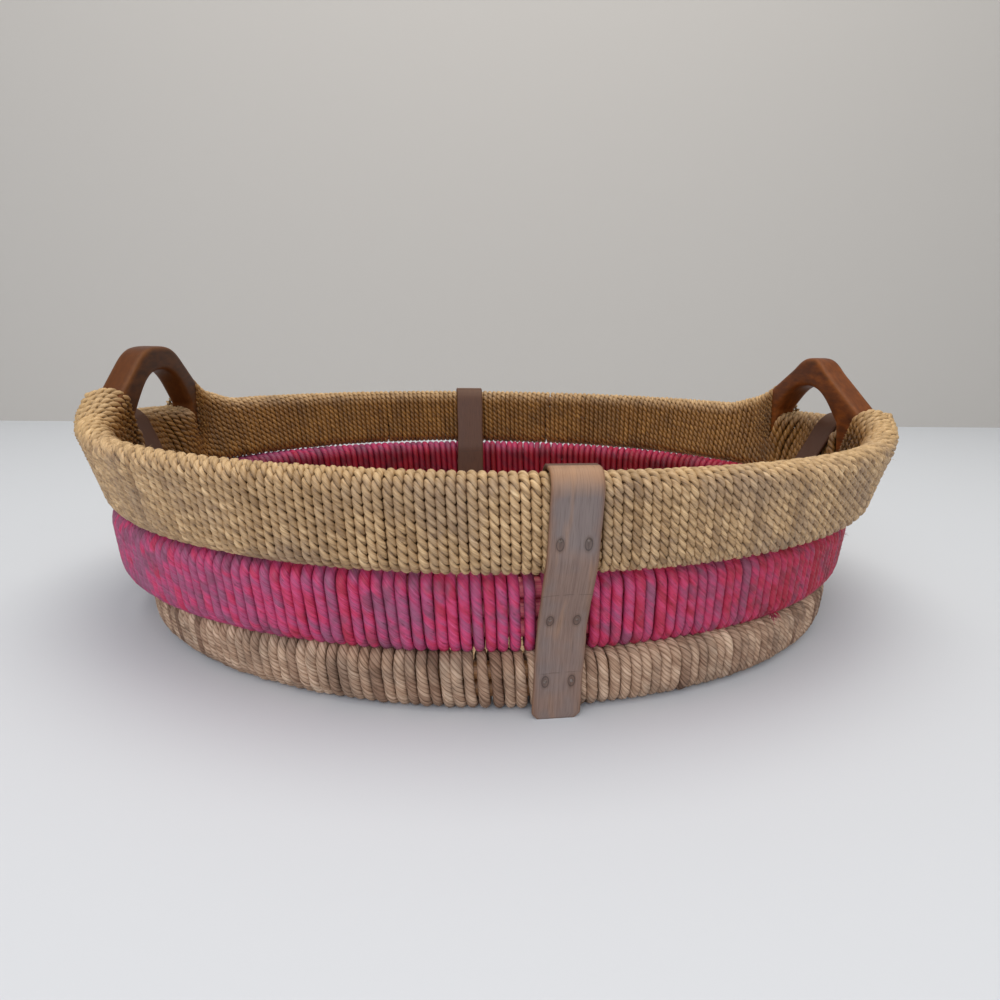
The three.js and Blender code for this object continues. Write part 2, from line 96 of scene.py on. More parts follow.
# %% [markdown]
# ## Helpers for surfaces and materials
#
# Every new piece is a grid of points that numpy fills in one go. `surface` puts such grids
# into a mesh. A material is a small graph of nodes, and `add` puts one node into it with
# its settings and its links. `complete` ends a material: it lays thin coats of colour over
# a base colour, the way a stain lies on a fibre, and joins them to the shader. On Object
# coordinates the scale of a noise counts patches in a metre, so 30 makes stains of 33 mm.

# %% Numbers to meshes
MM = 0.001
seeded = np.random.default_rng(7)


def surface(name, grids):
    """A smooth mesh of grids. A grid is a dict: points (rows, columns, 3), whose columns
    close on themselves, u for each row, v for each column and once more for the first, and
    any further (rows, columns) arrays, which become attributes of their names."""
    points, faces, faces_uv, extra = [], [], [], {}
    base = 0
    for grid in grids:
        rows, columns = grid["points"].shape[:2]
        index = np.arange(rows * columns).reshape(rows, columns) + base
        index = np.hstack([index, index[:, :1]])
        uv = np.stack(np.meshgrid(grid["u"], grid["v"], indexing="ij"), -1)
        for net, found in ((index, faces), (uv, faces_uv)):
            found.append(np.stack([net[:-1, :-1], net[:-1, 1:], net[1:, 1:], net[1:, :-1]], 2))
        points.append(grid["points"].reshape(-1, 3))
        for key, values in grid.items():
            if key not in ("points", "u", "v"):
                extra.setdefault(key, []).append(np.asarray(values).ravel())
        base += rows * columns
    faces = [net.reshape(-1, 4) for net in faces]
    faces_uv = [net.reshape(-1, 2) for net in faces_uv]
    points, faces = np.concatenate(points), np.concatenate(faces)
    mesh = bpy.data.meshes.new(name)
    mesh.vertices.add(len(points))
    mesh.vertices.foreach_set("co", points.astype(np.float32).ravel())
    mesh.loops.add(faces.size)
    mesh.loops.foreach_set("vertex_index", faces.astype(np.int32).ravel())
    mesh.polygons.add(len(faces))
    mesh.polygons.foreach_set("loop_start", np.arange(0, faces.size, 4, dtype=np.int32))
    mesh.update(calc_edges=True)
    layer = mesh.uv_layers.new(name="UVMap")
    layer.data.foreach_set("uv", np.concatenate(faces_uv).astype(np.float32).ravel())
    for key, values in extra.items():
        attribute = mesh.attributes.new(key, "FLOAT", "POINT")
        attribute.data.foreach_set("value", np.concatenate(values).astype(np.float32))
    mesh.polygons.foreach_set("use_smooth", np.ones(len(faces), bool))
    mesh.validate()
    return mesh


def piece(name, mesh, finish, stands_for=()):
    """An object of the tray that rides on its one body and stands for solids."""
    thing = into_scene(name, mesh)
    mesh.materials.append(finish)
    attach(thing, "root")
    if stands_for:
        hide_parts(*stands_for)
    print(name, len(mesh.polygons), "faces")


# %% Nodes
def linear(hex_colour):
    """Linear RGBA of an sRGB hex colour: each channel is divided by 12.92 near black, and
    elsewhere raised to 2.4 after a small offset."""
    channels = np.array([int(hex_colour[i:i + 2], 16) for i in (1, 3, 5)]) / 255
    bright = ((channels + 0.055) / 1.055) ** 2.4
    return (*np.where(channels > 0.04045, bright, channels / 12.92), 1.0)


def add(tree, kind, settings=None, out=0, **sockets):
    """Adds one node and returns its output out. Settings are its properties, and stops are
    the (position, colour) pairs of a colour ramp. A socket takes a number, a hex colour, or
    the output of another node. A name such as input_2 means the socket at that place."""
    made = tree.nodes.new("ShaderNode" + kind)
    settings = dict(settings or {})
    stops = settings.pop("stops", ())
    if stops:
        elements = made.color_ramp.elements
        for _ in stops[2:]:
            elements.new(1.0)
        for element, (position, colour) in zip(elements, stops):
            element.position, element.color = position, linear(colour)
    for key, value in settings.items():
        setattr(made, key, value)
    for key, value in sockets.items():
        place = int(key[6:]) if key.startswith("input_") else key.replace("_", " ")
        value = linear(value) if isinstance(value, str) else value
        if isinstance(value, bpy.types.NodeSocket):
            tree.links.new(value, made.inputs[place])
        else:
            made.inputs[place].default_value = value
    return made.outputs[out] if len(made.outputs) else None


def material(name):
    """A new material and its empty tree of nodes."""
    made = bpy.data.materials.new(name)
    made.use_nodes = True
    made.node_tree.nodes.clear()
    return made, made.node_tree


def complete(tree, base, coats=(), relief=None, strength=0.5, depth=0.25 * MM, **shader):
    """Ends a material. Each coat (blend mode, share, colour) lies over the base colour and
    the coats before it, and the relief raises the surface by up to depth."""
    for blend, share, colour in coats:
        base = add(tree, "Mix", {"data_type": "RGBA", "blend_type": blend}, 2,
                   input_0=share, input_6=base, input_7=colour)
    if relief is not None:
        shader["Normal"] = add(tree, "Bump", Strength=strength, Distance=depth, Height=relief)
    skin = add(tree, "BsdfPrincipled", Base_Color=base, **shader)
    add(tree, "OutputMaterial", Surface=skin)


print("a mid grey in linear light:", round(float(linear("#808080")[0]), 3))

# %% [markdown]
# ## The hoops as formulas
#
# The solids were drawn with the same few sizes: half length, half width and height of each
# hoop, the number of canes in it and the thickness of its cord. A place on a hoop is a
# turn (0 at the right handle, 0.25 at the back, 0.5 left, 0.75 front), a distance out from
# the middle of its core and a distance up from its mid height. Equal steps of a turn are
# equal lengths along the oval, so the arc length of the oval is tabulated once.

# %% Hoops
FIT = 0.3 * MM


class Hoop:
    """One hoop: its oval, the stack of canes in it and the cord round them. Its wall leans
    out by one slope at the long sides and by another at the ends."""

    def __init__(self, name, half_length, half_width, canes, cane, cord, leans, floor,
                 shift=0.0):
        self.name, self.canes, self.cane, self.cord = name, canes, cane, cord
        self.half_length, self.half_width, self.shift = half_length, half_width, shift
        self.side_lean, self.end_lean = leans
        self.core = canes * cane + (canes - 1) * FIT
        self.wall = cord + FIT
        self.top = floor + self.core + 2 * self.wall
        self.mid = (floor + self.top) / 2
        angles = np.linspace(0, 2 * np.pi, 4001)
        x, y = half_length * np.cos(angles), half_width * np.sin(angles)
        run = np.concatenate([[0], np.cumsum(np.hypot(np.diff(x), np.diff(y)))])
        self.length = run[-1]
        self.angles, self.shares = angles, run / run[-1]

    def axes(self, turn):
        """Core point, outward and along directions at each turn."""
        angle = np.interp(np.mod(turn, 1), self.shares, self.angles)
        core = np.stack([
            self.half_length * np.cos(angle) + self.shift,
            self.half_width * np.sin(angle)], -1)
        along = np.stack([
            -self.half_length * np.sin(angle), self.half_width * np.cos(angle)], -1)
        along /= np.linalg.norm(along, axis=-1, keepdims=True)
        return core, np.stack([along[..., 1], -along[..., 0]], -1), along

    def lean(self, outward):
        """Slope of the wall, blended by the square of how far outward points endwise."""
        return self.side_lean + (self.end_lean - self.side_lean) * outward[..., 0] ** 2

    def place(self, turn, out, rise):
        """Points out from the core and up from mid height, leaning out with the wall."""
        core, outward, _ = self.axes(turn)
        flat = core + outward * (out + self.lean(outward) * rise)[..., None]
        return np.concatenate([flat, (self.mid + rise)[..., None]], -1)


bottom = Hoop("bottom", 227 * MM, 194 * MM, 2, 9.5 * MM, 5.4 * MM, (0.1, 0.1), -0.5 * MM)
middle = Hoop("middle", 242 * MM, 194 * MM, 3, 10.2 * MM, 5.4 * MM, (0.1, 0.1),
              bottom.top + 1.0 * MM, -5 * MM)
top = Hoop("top", 256 * MM, 209 * MM, 4, 9.5 * MM, 4.5 * MM, (0.05, 0.38),
           middle.top + 0.8 * MM)
for hoop in (bottom, middle, top):
    print(hoop.name, "hoop", round(hoop.length / MM), "mm round, top at",
          round(hoop.top / MM, 1), "mm")

# %% [markdown]
# ## Winding
#
# A cord goes round the stack of canes and moves on by one pitch each time. Its path needs
# the outline of the stack, which is a stadium: two half circles joined by straight sides.
# The path walks that outline at a steady rate, and the turn grows with it. Real hands wind
# unevenly, so each turn gets its own small lean, tightness and thickness.

# %% A turn of the cord
def run_along(line):
    """Length gone at each point of a line, counted from its first point."""
    step = np.linalg.norm(np.diff(line, axis=0), axis=1)
    return np.concatenate([[0], np.cumsum(step)])


def stadium(radius, straight):
    """Table of a stadium outline at equal lengths: from the top, down the outer side and
    up the inner side. Half circles of the radius stand at the ends of the straights."""
    quarter = np.linspace(0, np.pi / 2, 40)
    cap = np.stack([radius * np.sin(quarter), straight / 2 + radius * np.cos(quarter)], -1)
    outer = np.concatenate([cap, (cap * [1, -1])[::-1]])
    outline = np.concatenate([outer, (outer * [-1, 1])[::-1]])
    run = run_along(outline)
    return outline, run / run[-1], run[-1]


def wobble(turns, scale, amount):
    """A smooth random value for each turn number: noise at every scale turns, joined by
    straight lines."""
    count = int(np.max(turns) / scale) + 3
    values = seeded.normal(0, amount, count)
    return np.interp(turns / scale, np.arange(count), values)


def smooth_step(low, high, x):
    """0 below low, 1 above high, and a soft rise between them."""
    share = np.clip((x - low) / (high - low), 0, 1)
    return share * share * (3 - 2 * share)


def unit(vectors):
    """Each vector divided by its length."""
    return vectors / np.linalg.norm(vectors, axis=-1, keepdims=True)


# %% Path of a winding
def winding(hoop, turns, position, step, sway, shape=None):
    """Path of a cord: for turn number k with its share w of a turn done, the point at share
    w of the outline, at the place position(k), give or take the sway. Returns points,
    outward normals, side directions, length so far, w, turn numbers, samples per turn and
    a tone. The shape, if there is one, bends the path where the hoop isn't plain."""
    radius = hoop.cane / 2 + hoop.cord / 2 + 0.2 * MM
    outline, shares, around = stadium(radius, hoop.core - hoop.cane)
    per_turn = int(round(around / step))
    number = np.linspace(0, turns, turns * per_turn + 1)
    w = np.mod(number, 1)
    out, rise = (np.interp(w, shares, outline[:, i]) for i in (0, 1))
    turn = position(number) + wobble(number, 0.35, sway) / hoop.length
    out = out * (1 + wobble(number, 0.7, 0.012)) + wobble(number, 1.3, 0.12 * MM)
    if shape is not None:
        turn, out, rise = shape(number, turn, out, rise, radius)
    points = hoop.place(turn, out, rise)
    tangent = unit(np.gradient(points, axis=0))
    core, outward, _ = hoop.axes(turn)
    half = (hoop.core - hoop.cane) / 2
    away_up = np.where(np.abs(rise) > half, rise - np.sign(rise) * half, 0)
    normal = np.concatenate([outward * out[:, None], away_up[:, None]], -1)
    normal -= tangent * np.sum(normal * tangent, -1, keepdims=True)
    normal = unit(normal)
    return {"points": points, "normal": normal, "side": np.cross(tangent, normal),
            "length": run_along(points), "w": w, "number": number, "per_turn": per_turn,
            "tone": wobble(number, 0.8, 1.0)}


# %% A tube round a path
def tube(path, angles, radii, swing=0.0, scale=1.0):
    """Rings of points round a path. A ring has a radius for each angle, from the path's
    normal round to its side direction, and swing turns the whole ring, so that a section
    that isn't round becomes a twist. scale makes each ring thicker or thinner. The
    attribute inside is 1 where the cord runs up the inner side of its hoop."""
    swing = np.broadcast_to(swing, path["length"].shape)
    scale = np.broadcast_to(scale, path["length"].shape)
    ahead = np.cos(swing)[:, None] * path["normal"] + np.sin(swing)[:, None] * path["side"]
    aside = -np.sin(swing)[:, None] * path["normal"] + np.cos(swing)[:, None] * path["side"]
    section = np.stack([np.cos(angles), np.sin(angles)], -1) * np.asarray(radii)[..., None]
    ring = section[None, :, :1] * ahead[:, None] + section[None, :, 1:] * aside[:, None]
    points = path["points"][:, None] + ring * scale[:, None, None]
    w = path["w"]
    inner = smooth_step(0.5, 0.56, w) * (1 - smooth_step(0.86, 1.0, w))
    inner = np.broadcast_to(inner[:, None], points.shape[:2])
    shade = np.broadcast_to(path["tone"][:, None], points.shape[:2])
    around = (angles - angles[0]) / (2 * np.pi)
    return {"points": points, "u": path["length"], "v": np.concatenate([around, [1.0]]),
            "inside": inner, "tone": shade}


def close_ends(grid):
    """Draws the first and the last ring together, so that a tube has no open end."""
    for end in (0, -1):
        grid["points"][end] = grid["points"][end].mean(0)
    return grid


def capped(grid, first=0, last=None):
    """The rows of a grid from one sample to another, with the end rings repeated and the
    repeats drawn together, which closes the tube by a flat cap at each end."""
    part = dict(grid)
    for key in grid.keys() - {"v"}:
        values = grid[key][first:last]
        part[key] = np.concatenate([values[:1], values, values[-1:]])
    return close_ends(part)


# %% [markdown]
# ## Where the turns lie
#
# The turns are close together, but not everywhere alike. Between the feet of a handle they
# spread at the bottom and crowd at the top. Beside the front strap a few turns of the
# middle hoop have slid apart, so that the pink canes show. `spacing` turns a list of such
# places into a function from the turn number to the place round the hoop.

# %% Spacing of the turns
def spacing(hoop, count, gaps=(), looser=None):
    """Function from turn number (0 to count) to place round the hoop, from the left strap.
    Steps are even, or in proportion to looser(place). Each gap (place, width) is one wider
    step, which the cord takes on its way up the inner side."""
    places = np.linspace(0, 1, 6001)
    density = np.ones_like(places) if looser is None else 1 / looser(places + 0.5)
    numbers = np.concatenate([[0], np.cumsum((density[1:] + density[:-1]) / 2)])
    numbers *= count / numbers[-1]
    chosen = []

    def position(number):
        spread = sum(width for _, width in chosen) / hoop.length
        place = np.interp(number, numbers, places) * (1 - spread)
        for at, width in chosen:
            place = place + width / hoop.length * smooth_step(0.55, 0.95, number - at)
        return place + 0.5

    for place, width in gaps:
        chosen.append((0, 0))
        whole = position(np.arange(count)) + 0.75 / count
        chosen[-1] = (int(np.argmin(np.abs(whole - place))), width)
    return position


# %% [markdown]
# ## Top cord: two-ply twisted seagrass
#
# Seagrass is twisted into two plies and the plies are laid together, which gives the
# plaited look of plump slanting grains with dark pits between them. Two tubes would hide
# half of their faces in each other, so one tube is used, with a section of two lobes that
# turns once in 9.4 mm. At the handles the path leaves its even outline: it climbs over the
# foot of the handle, hugs its pared outer side, and leans away from the heel, which leaves
# a dark wedge with the wood in it. Its underside sags a little, to rest on the hoop below.

# %% Sizes at the handles
# The inner face of a handle stands REACH from the middle of the tray. CUTS gives the sawn
# shape of each handle in mm. A foot ends FOOT_HALF from the middle, FOOT_TIP high. Under
# the cord its outer side is pared, and at least LEG_LEFT of the plank stays.
REACH, PLANK = 232 * MM, 16 * MM
CUTS = {"left": {"rise": 50.5, "bar": 16, "crown_half": 38, "crown_drop": 11,
                 "grip_half": 49},
        "right": {"rise": 48.5, "bar": 20.5, "crown_half": 26, "crown_drop": 10.5,
                  "grip_half": 45}}
FOOT_HALF, FOOT_TIP = 86, 7
PARE_DOWN, PARE_ACROSS, PARE_FROM, LEG_LEFT = 0.42, 0.6, 62 * MM, 3 * MM

# Places of turns in mm from the middle of a handle, for each foot: where the turns over the
# foot begin at the bottom, where the turns between the feet end at the top, and where the
# turns over the foot begin at the top. From EVEN_FROM on, turns stand upright again.
FOOT_START = (50, 62, 59, 54)
BETWEEN_TOP = (46, 55, 52, 48)
OVER_TOP = (62, 65, 74, 59)
EVEN_FROM, LOOSER, AT_END = 118 * MM, 1.1, 150 * MM

# The lean grows over the wedge's depth. The climb, the swell and the hug each have a
# length over which they fade.
HEEL_INNER, WEDGE_DEPTH, WEDGE_TAPER, LIFT_END = 52 * MM, 26 * MM, 0.6, 2 * MM
CLIMB_TAIL, SWELL_TAIL, BULGE_DEPTH = 28 * MM, 22 * MM, 16 * MM
HUG_FRONT, HUG_BACK, SLACK = 26 * MM, 12 * MM, 0.8 * MM
SAG, SAG_TO_BACK, SAG_BACK_RIGHT = 1.05, 0.04, 0.07
TOP_TURNS = 318

# %% Shape of a foot
def foot_top(cut, across):
    """Height of a foot above the canes: from the crown's edge straight down to the tip."""
    crown = cut["rise"] - cut["crown_drop"]
    slope = (crown - FOOT_TIP) / (FOOT_HALF - cut["crown_half"])
    return np.maximum(crown - slope * (across - cut["crown_half"]), FOOT_TIP)


def outer_face(across, height):
    """Where a leg's outer face lies at a distance from the middle of the handle and a
    height over the canes. Below the canes' top it tapers in, and toward the heel's outer
    edge it is pared down, so that the cord runs over it without a step."""
    pared = (PARE_DOWN * np.clip(-height, 0, None)
             + PARE_ACROSS * np.clip(across - PARE_FROM, 0, None))
    return np.maximum(REACH + PLANK - pared, REACH + LEG_LEFT)


def by_foot(core, values):
    """One of four values in mm for each place: front left, back left, front right, back
    right. The feet were not bound alike."""
    left, front = core[:, 0] < 0, core[:, 1] < 0
    return MM * np.select([left & front, left & ~front, ~left & front], values[:3], values[3])


def looser_at_handles(place):
    """Relative room for a turn: wider outside the handles, where the turns lean."""
    core, _, _ = top.axes(place)
    across = np.abs(core[:, 1])
    leaning = (across < EVEN_FROM) & (across > HEEL_INNER) & (np.abs(core[:, 0]) > AT_END)
    return np.where(leaning, LOOSER, 1.0)


top_position = spacing(
    top, TOP_TURNS, gaps=((1.205, 1.3 * MM), (1.315, 0.8 * MM)), looser=looser_at_handles)


# %% How the top cord goes round the handles
def leaned(base, along, turn, rise, share):
    """Turn after the lean: each turn moves aside by lift times the way from its place at
    the bottom to its place at the top. Between the feet the turns crowd there, and outside
    they lean away from the heel."""
    low = np.abs(base[:, 1])
    start, over_top = by_foot(base, FOOT_START), by_foot(base, OVER_TOP)
    depth = WEDGE_DEPTH * (1 - WEDGE_TAPER * share)
    lift = smooth_step(top.core / 2 - depth, top.core / 2 + LIFT_END, rise)
    outside = over_top + (low - start) * (EVEN_FROM - over_top) / (EVEN_FROM - start)
    high = np.where(low < start, low * by_foot(base, BETWEEN_TOP) / start, outside)
    leans = (np.abs(base[:, 0]) > AT_END) & (low < EVEN_FROM)
    move = np.where(leans, (high - low) * lift, 0)
    return turn + np.sign(base[:, 1]) * move / along[:, 1] / top.length


def sagged(base, rise):
    """Rise after the sag: the underside of a turn hangs lower by a share of its depth, most
    at the back right, so that it rests on the middle hoop."""
    sag = SAG + SAG_TO_BACK * np.clip(base[:, 1] / (150 * MM), -1, 1)
    to_right = smooth_step(-60 * MM, 40 * MM, base[:, 0])
    sag += SAG_BACK_RIGHT * (base[:, 1] > 0) * to_right
    return np.where(rise < 0, rise * sag, rise)


def to_the_leg(base, core, outward, rise, radius):
    """Ways from the plain path to the faces of a leg: inward to its inner face, and out or
    in to its outer face."""
    across, facing = np.abs(core[:, 1]), np.abs(outward[:, 0])
    half, over_core = top.cord / 2 + FIT, rise - top.core / 2
    x = np.abs(core[:, 0]) + top.lean(outward) * rise * facing
    inward = np.maximum(0, (x - REACH) * facing + half - radius)
    narrow = smooth_step(HEEL_INNER - SWELL_TAIL, HEEL_INNER, across)
    stand_off = (outer_face(across, over_core) - x) * facing + half - radius
    bulge = np.maximum(stand_off, 0) * smooth_step(-BULGE_DEPTH, 0, over_core)
    hug_height = np.where(base[:, 1] < 0, HUG_FRONT, HUG_BACK)
    hug = np.minimum(stand_off, 0) * smooth_step(0, 1, over_core / hug_height)
    return inward * narrow, bulge + hug


def round_the_handles(number, turn, out, rise, radius):
    """Bends the plain path of the top cord round the handles' feet. Each turn is judged by
    where its lowest point lies, so that nothing changes half way round. share is 1 on the
    outer side of the hoop and 0 on the inner."""
    base, _, along = top.axes(top_position(np.floor(number + 0.5)))
    share = (out + radius) / (2 * radius)
    turn = leaned(base, along, turn, rise, share)
    rise = sagged(base, rise)
    core, outward, _ = top.axes(turn)
    across = np.abs(core[:, 1])
    at_end = np.abs(base[:, 0]) > AT_END
    tail = 1 - smooth_step(FOOT_HALF * MM, FOOT_HALF * MM + CLIMB_TAIL, across)
    tail = np.where(at_end, tail, 0)
    between_feet = at_end & (np.abs(base[:, 1]) < by_foot(base, FOOT_START))
    over = np.where(between_feet, 0, tail)
    foot = MM * np.where(core[:, 0] > 0, foot_top(CUTS["right"], across / MM),
                         foot_top(CUTS["left"], across / MM))
    straight = (top.core - top.cane) / 2
    rise = rise + (foot + SLACK) * over * np.clip(rise / straight, 0, 1)
    inner_way, outer_way = to_the_leg(base, core, outward, rise, radius)
    out = out - inner_way * tail * (1 - share) + outer_way * over * share
    return turn, out, rise


# %% Wind the top cord
top_path = winding(
    top, TOP_TURNS, top_position, 1.05 * MM, 0.1 * MM, round_the_handles)
print("top cord", round(top_path["length"][-1], 1), "m in", TOP_TURNS, "turns")

# %% [markdown]
# ## Finish of the top cord
#
# Twisted seagrass is a dull dry leaf. The eye gets its warm tan from the leaf, grey and
# mauve stains from handling, and a fine fibre line along each ply. The cord's own UV runs
# along the ply and round it, so the fibres follow the twist for free: the value round the
# tube goes through a sine and a cosine first, which leaves no seam.

# %% Fibres along a cord
def along_cord(tree, fibre_mm, run_mm, radius_mm):
    """Vector for a noise that makes fibres: round the tube at one unit per fibre, and
    along it at one unit per run."""
    uv = add(tree, "UVMap", {"uv_map": "UVMap"})
    run = add(tree, "Math", {"operation": "MULTIPLY"},
              input_0=add(tree, "SeparateXYZ", out="X", Vector=uv), input_1=1000 / run_mm)
    angle = add(tree, "Math", {"operation": "MULTIPLY"},
                input_0=add(tree, "SeparateXYZ", out="Y", Vector=uv), input_1=2 * math.pi)
    ring = [add(tree, "Math", {"operation": "MULTIPLY"}, input_1=radius_mm / fibre_mm,
                input_0=add(tree, "Math", {"operation": wave}, input_0=angle))
            for wave in ("COSINE", "SINE")]
    return add(tree, "CombineXYZ", X=ring[0], Y=ring[1], Z=run)


# %% Finish of the top cord
seagrass, tree = material("twisted_seagrass")
place = add(tree, "TexCoord", out="Object")
height = add(tree, "SeparateXYZ", out="Z", Vector=place)
sunk, tone, inside = (add(tree, "Attribute", {"attribute_name": name}, "Fac")
                      for name in ("pit", "tone", "inside"))
tone = add(tree, "Math", {"operation": "MULTIPLY_ADD"},
           input_0=tone, input_1=0.16, input_2=0.5)
fibres = add(tree, "TexNoise", Vector=along_cord(tree, 0.55, 8.0, 2.2), Scale=1.0,
             Detail=3.0, Roughness=0.6)
patches = add(tree, "TexNoise", Vector=along_cord(tree, 3.0, 7.0, 2.2), Scale=1.0)
stains = add(tree, "TexNoise", Vector=place, Scale=30.0, Detail=4.0, Roughness=0.6)
leaf = add(tree, "ValToRGB", {"stops": (
    (0.28, "#A0866A"), (0.44, "#C8AC8A"), (0.58, "#DEC29E"), (0.74, "#F8DFBC"))}, Fac=patches)
lines = add(tree, "ValToRGB", {"stops": (
    (0.32, "#A89A86"), (0.5, "#E9E3D8"), (0.68, "#FFFFFF"))}, Fac=fibres)
turns = add(tree, "ValToRGB", {"stops": (
    (0.0, "#B7A68C"), (0.5, "#EDE6D8"), (1.0, "#FFFAEE"))}, Fac=tone)
stained_by = add(tree, "MapRange", Value=stains, From_Min=0.47, From_Max=0.62, To_Max=0.55)
# A golden colour towards the very top of the rim, from 118 mm up.
golden_rim_top = add(tree, "MapRange", Value=height, From_Min=0.118, From_Max=0.1245, To_Max=0.4)
# Painted shade: the pits between the two plies are darkened towards a deep brown.
painted_crease_shade = add(tree, "MapRange", Value=sunk, From_Min=0.3, From_Max=0.95, To_Max=0.85)
complete(tree, leaf, (
    ("MIX", stained_by, "#A08C80"),
    ("MULTIPLY", 0.8, lines),
    ("MULTIPLY", 0.9, turns),
    ("MIX", golden_rim_top, "#D2AE74"),
    # Painted shade: the inner side of the hoop, inside the tray, is darkened and yellowed.
    ("MULTIPLY", inside, "#BEA26E"),
    ("MIX", painted_crease_shade, "#3E2E20")),
    fibres, 0.5, 0.25 * MM, Roughness=0.48, Specular_IOR_Level=0.45)
print(seagrass.name, len(tree.nodes), "nodes")

# %% Section of a two-ply cord
LAY = 9.4 * MM
PLY_OFFSET, PLY_DEEP, PLY_WIDE = 1.1 * MM, 1.26 * MM, 1.86 * MM
LOBE = np.array([22, 50, 78, 102, 130, 158])


def two_plies(angles):
    """Radius of the section: two equal ellipses stand offset to both sides of the middle,
    and the radius is where the ray from the middle leaves the nearer one."""
    ahead, aside = np.abs(np.cos(angles)), np.sin(angles)
    square = (ahead / PLY_DEEP) ** 2 + (aside / PLY_WIDE) ** 2
    slope = ahead * PLY_OFFSET / PLY_DEEP ** 2
    rest = (PLY_OFFSET / PLY_DEEP) ** 2 - 1
    return (slope + np.sqrt(slope ** 2 - square * rest)) / square


section_angles = np.radians(np.concatenate([[90], 90 + LOBE, [270], 270 + LOBE]))
# pit is 1 at the two creases between the plies; the top cord's material paints shade there.
pit = np.isclose(np.cos(section_angles), 0).astype(float)
thick = 1 + wobble(top_path["number"], 0.3, 0.035) + wobble(top_path["number"], 0.07, 0.02)
top_grid = tube(top_path, section_angles, two_plies(section_angles),
                -2 * np.pi * top_path["length"] / LAY, thick)
top_grid["pit"] = np.broadcast_to(pit, top_grid["tone"].shape)
print("section from", round(two_plies(section_angles).min() / MM, 2), "to",
      round(two_plies(section_angles).max() / MM, 2), "mm")

# %% Make the top cord
def wound_pieces(hoop, path, grid, names, finish):
    """Cuts the grid of a winding into equal arcs. Each cut lies half way through a turn,
    which is under the hoop, where no one sees it."""
    turns = len(path["number"]) // path["per_turn"]
    cuts = [0]
    for number in range(1, len(names)):
        whole = round(turns * number / len(names))
        cuts.append(int((whole + 0.5) * path["per_turn"]))
    cuts.append(len(path["number"]) - 1)
    for part, first, last in zip(names, cuts, cuts[1:]):
        name = f"{hoop.name}_cord_{part}"
        piece(name, surface(name, [capped(grid, first, last + 1)]), finish,
              [f"{hoop.name}_winding"])


wound_pieces(top, top_path, top_grid, (
    "front_left", "front", "front_right", "back_right", "back", "back_left"), seagrass)

# %% [markdown]
# ## Middle cord: dyed paper-soft cord
#
# The middle hoop is wound with a thicker single cord, dyed magenta before winding. The dye
# took unevenly: the same cord goes from bright pink to crimson to a greyed mauve within a
# few centimetres, greyer towards the left end and redder towards the right. The inner side
# of the hoop, inside the tray, is darkened with painted shade, and pale pink streaks on the
# brightest fibres are a painted highlight. Its surface shows fine slanting fibre lines, so
# the tube's rings are swung as they go on, which carries the UV round.

# %% Wind the middle and the bottom cord
MIDDLE_TURNS, BOTTOM_TURNS = 240, 235
HANG, SWELL = 1.12, 1.1
PLUMP, THINNEST, THICKEST = 1.04, 0.85, 1.12

middle_position = spacing(middle, MIDDLE_TURNS, gaps=(
    (0.7565, 1.6 * MM), (0.7618, 2.6 * MM), (0.7672, 4.4 * MM), (0.7800, 1.0 * MM)))
bottom_position = spacing(bottom, BOTTOM_TURNS, gaps=(
    (0.7370, 0.8 * MM), (0.7412, 0.9 * MM), (0.7570, 0.8 * MM)))


def hang(number, turn, out, rise, radius):
    """Lets the underside of each turn sag, so that it rests on the hoop below."""
    return turn, out, np.where(rise < 0, rise * HANG, rise)


def swell(number, turn, out, rise, radius):
    """Lets the upper side of each turn rise into the grooves of the hoop above."""
    return turn, out, np.where(rise > 0, rise * SWELL, rise)


middle_path = winding(middle, MIDDLE_TURNS, middle_position, 2.0 * MM, 0.25 * MM, hang)
bottom_path = winding(bottom, BOTTOM_TURNS, bottom_position, 2.0 * MM, 0.3 * MM, swell)


def single_cord(hoop, path, lay, ridge, uneven):
    """One round tube of twelve sides, whose rings turn once in a lay. Three low lobes of
    the section become the slanting swell of the twist, and its thickness wanders."""
    angles = np.arange(12) * np.pi / 6
    radii = hoop.cord / 2 * PLUMP * (1 + ridge * np.cos(3 * angles))
    thick = 1 + wobble(path["number"], 0.3, uneven) + wobble(path["number"], 0.1, uneven / 3)
    thick = np.clip(thick, THINNEST, THICKEST)
    return tube(path, angles, radii, -2 * np.pi * path["length"] / lay, thick)


middle_grid = single_cord(middle, middle_path, 16 * MM, 0.02, 0.03)
bottom_grid = single_cord(bottom, bottom_path, 15 * MM, 0.035, 0.075)
bottom_grid["points"][..., 2] = np.maximum(bottom_grid["points"][..., 2], 0.0)
print("middle cord", round(middle_path["length"][-1], 1), "m, bottom cord",
      round(bottom_path["length"][-1], 1), "m")

# %% Strands of a cord
def strands(tree, count):
    """A wave that goes count times round the cord: 0 in the furrows, 1 on the strands."""
    uv = add(tree, "UVMap", {"uv_map": "UVMap"})
    around = add(tree, "SeparateXYZ", out="Y", Vector=uv)
    phase = add(tree, "Math", {"operation": "MULTIPLY"},
                input_0=around, input_1=2 * math.pi * count)
    wave = add(tree, "Math", {"operation": "COSINE"}, input_0=phase)
    return add(tree, "MapRange", Value=wave, From_Min=-1.0)


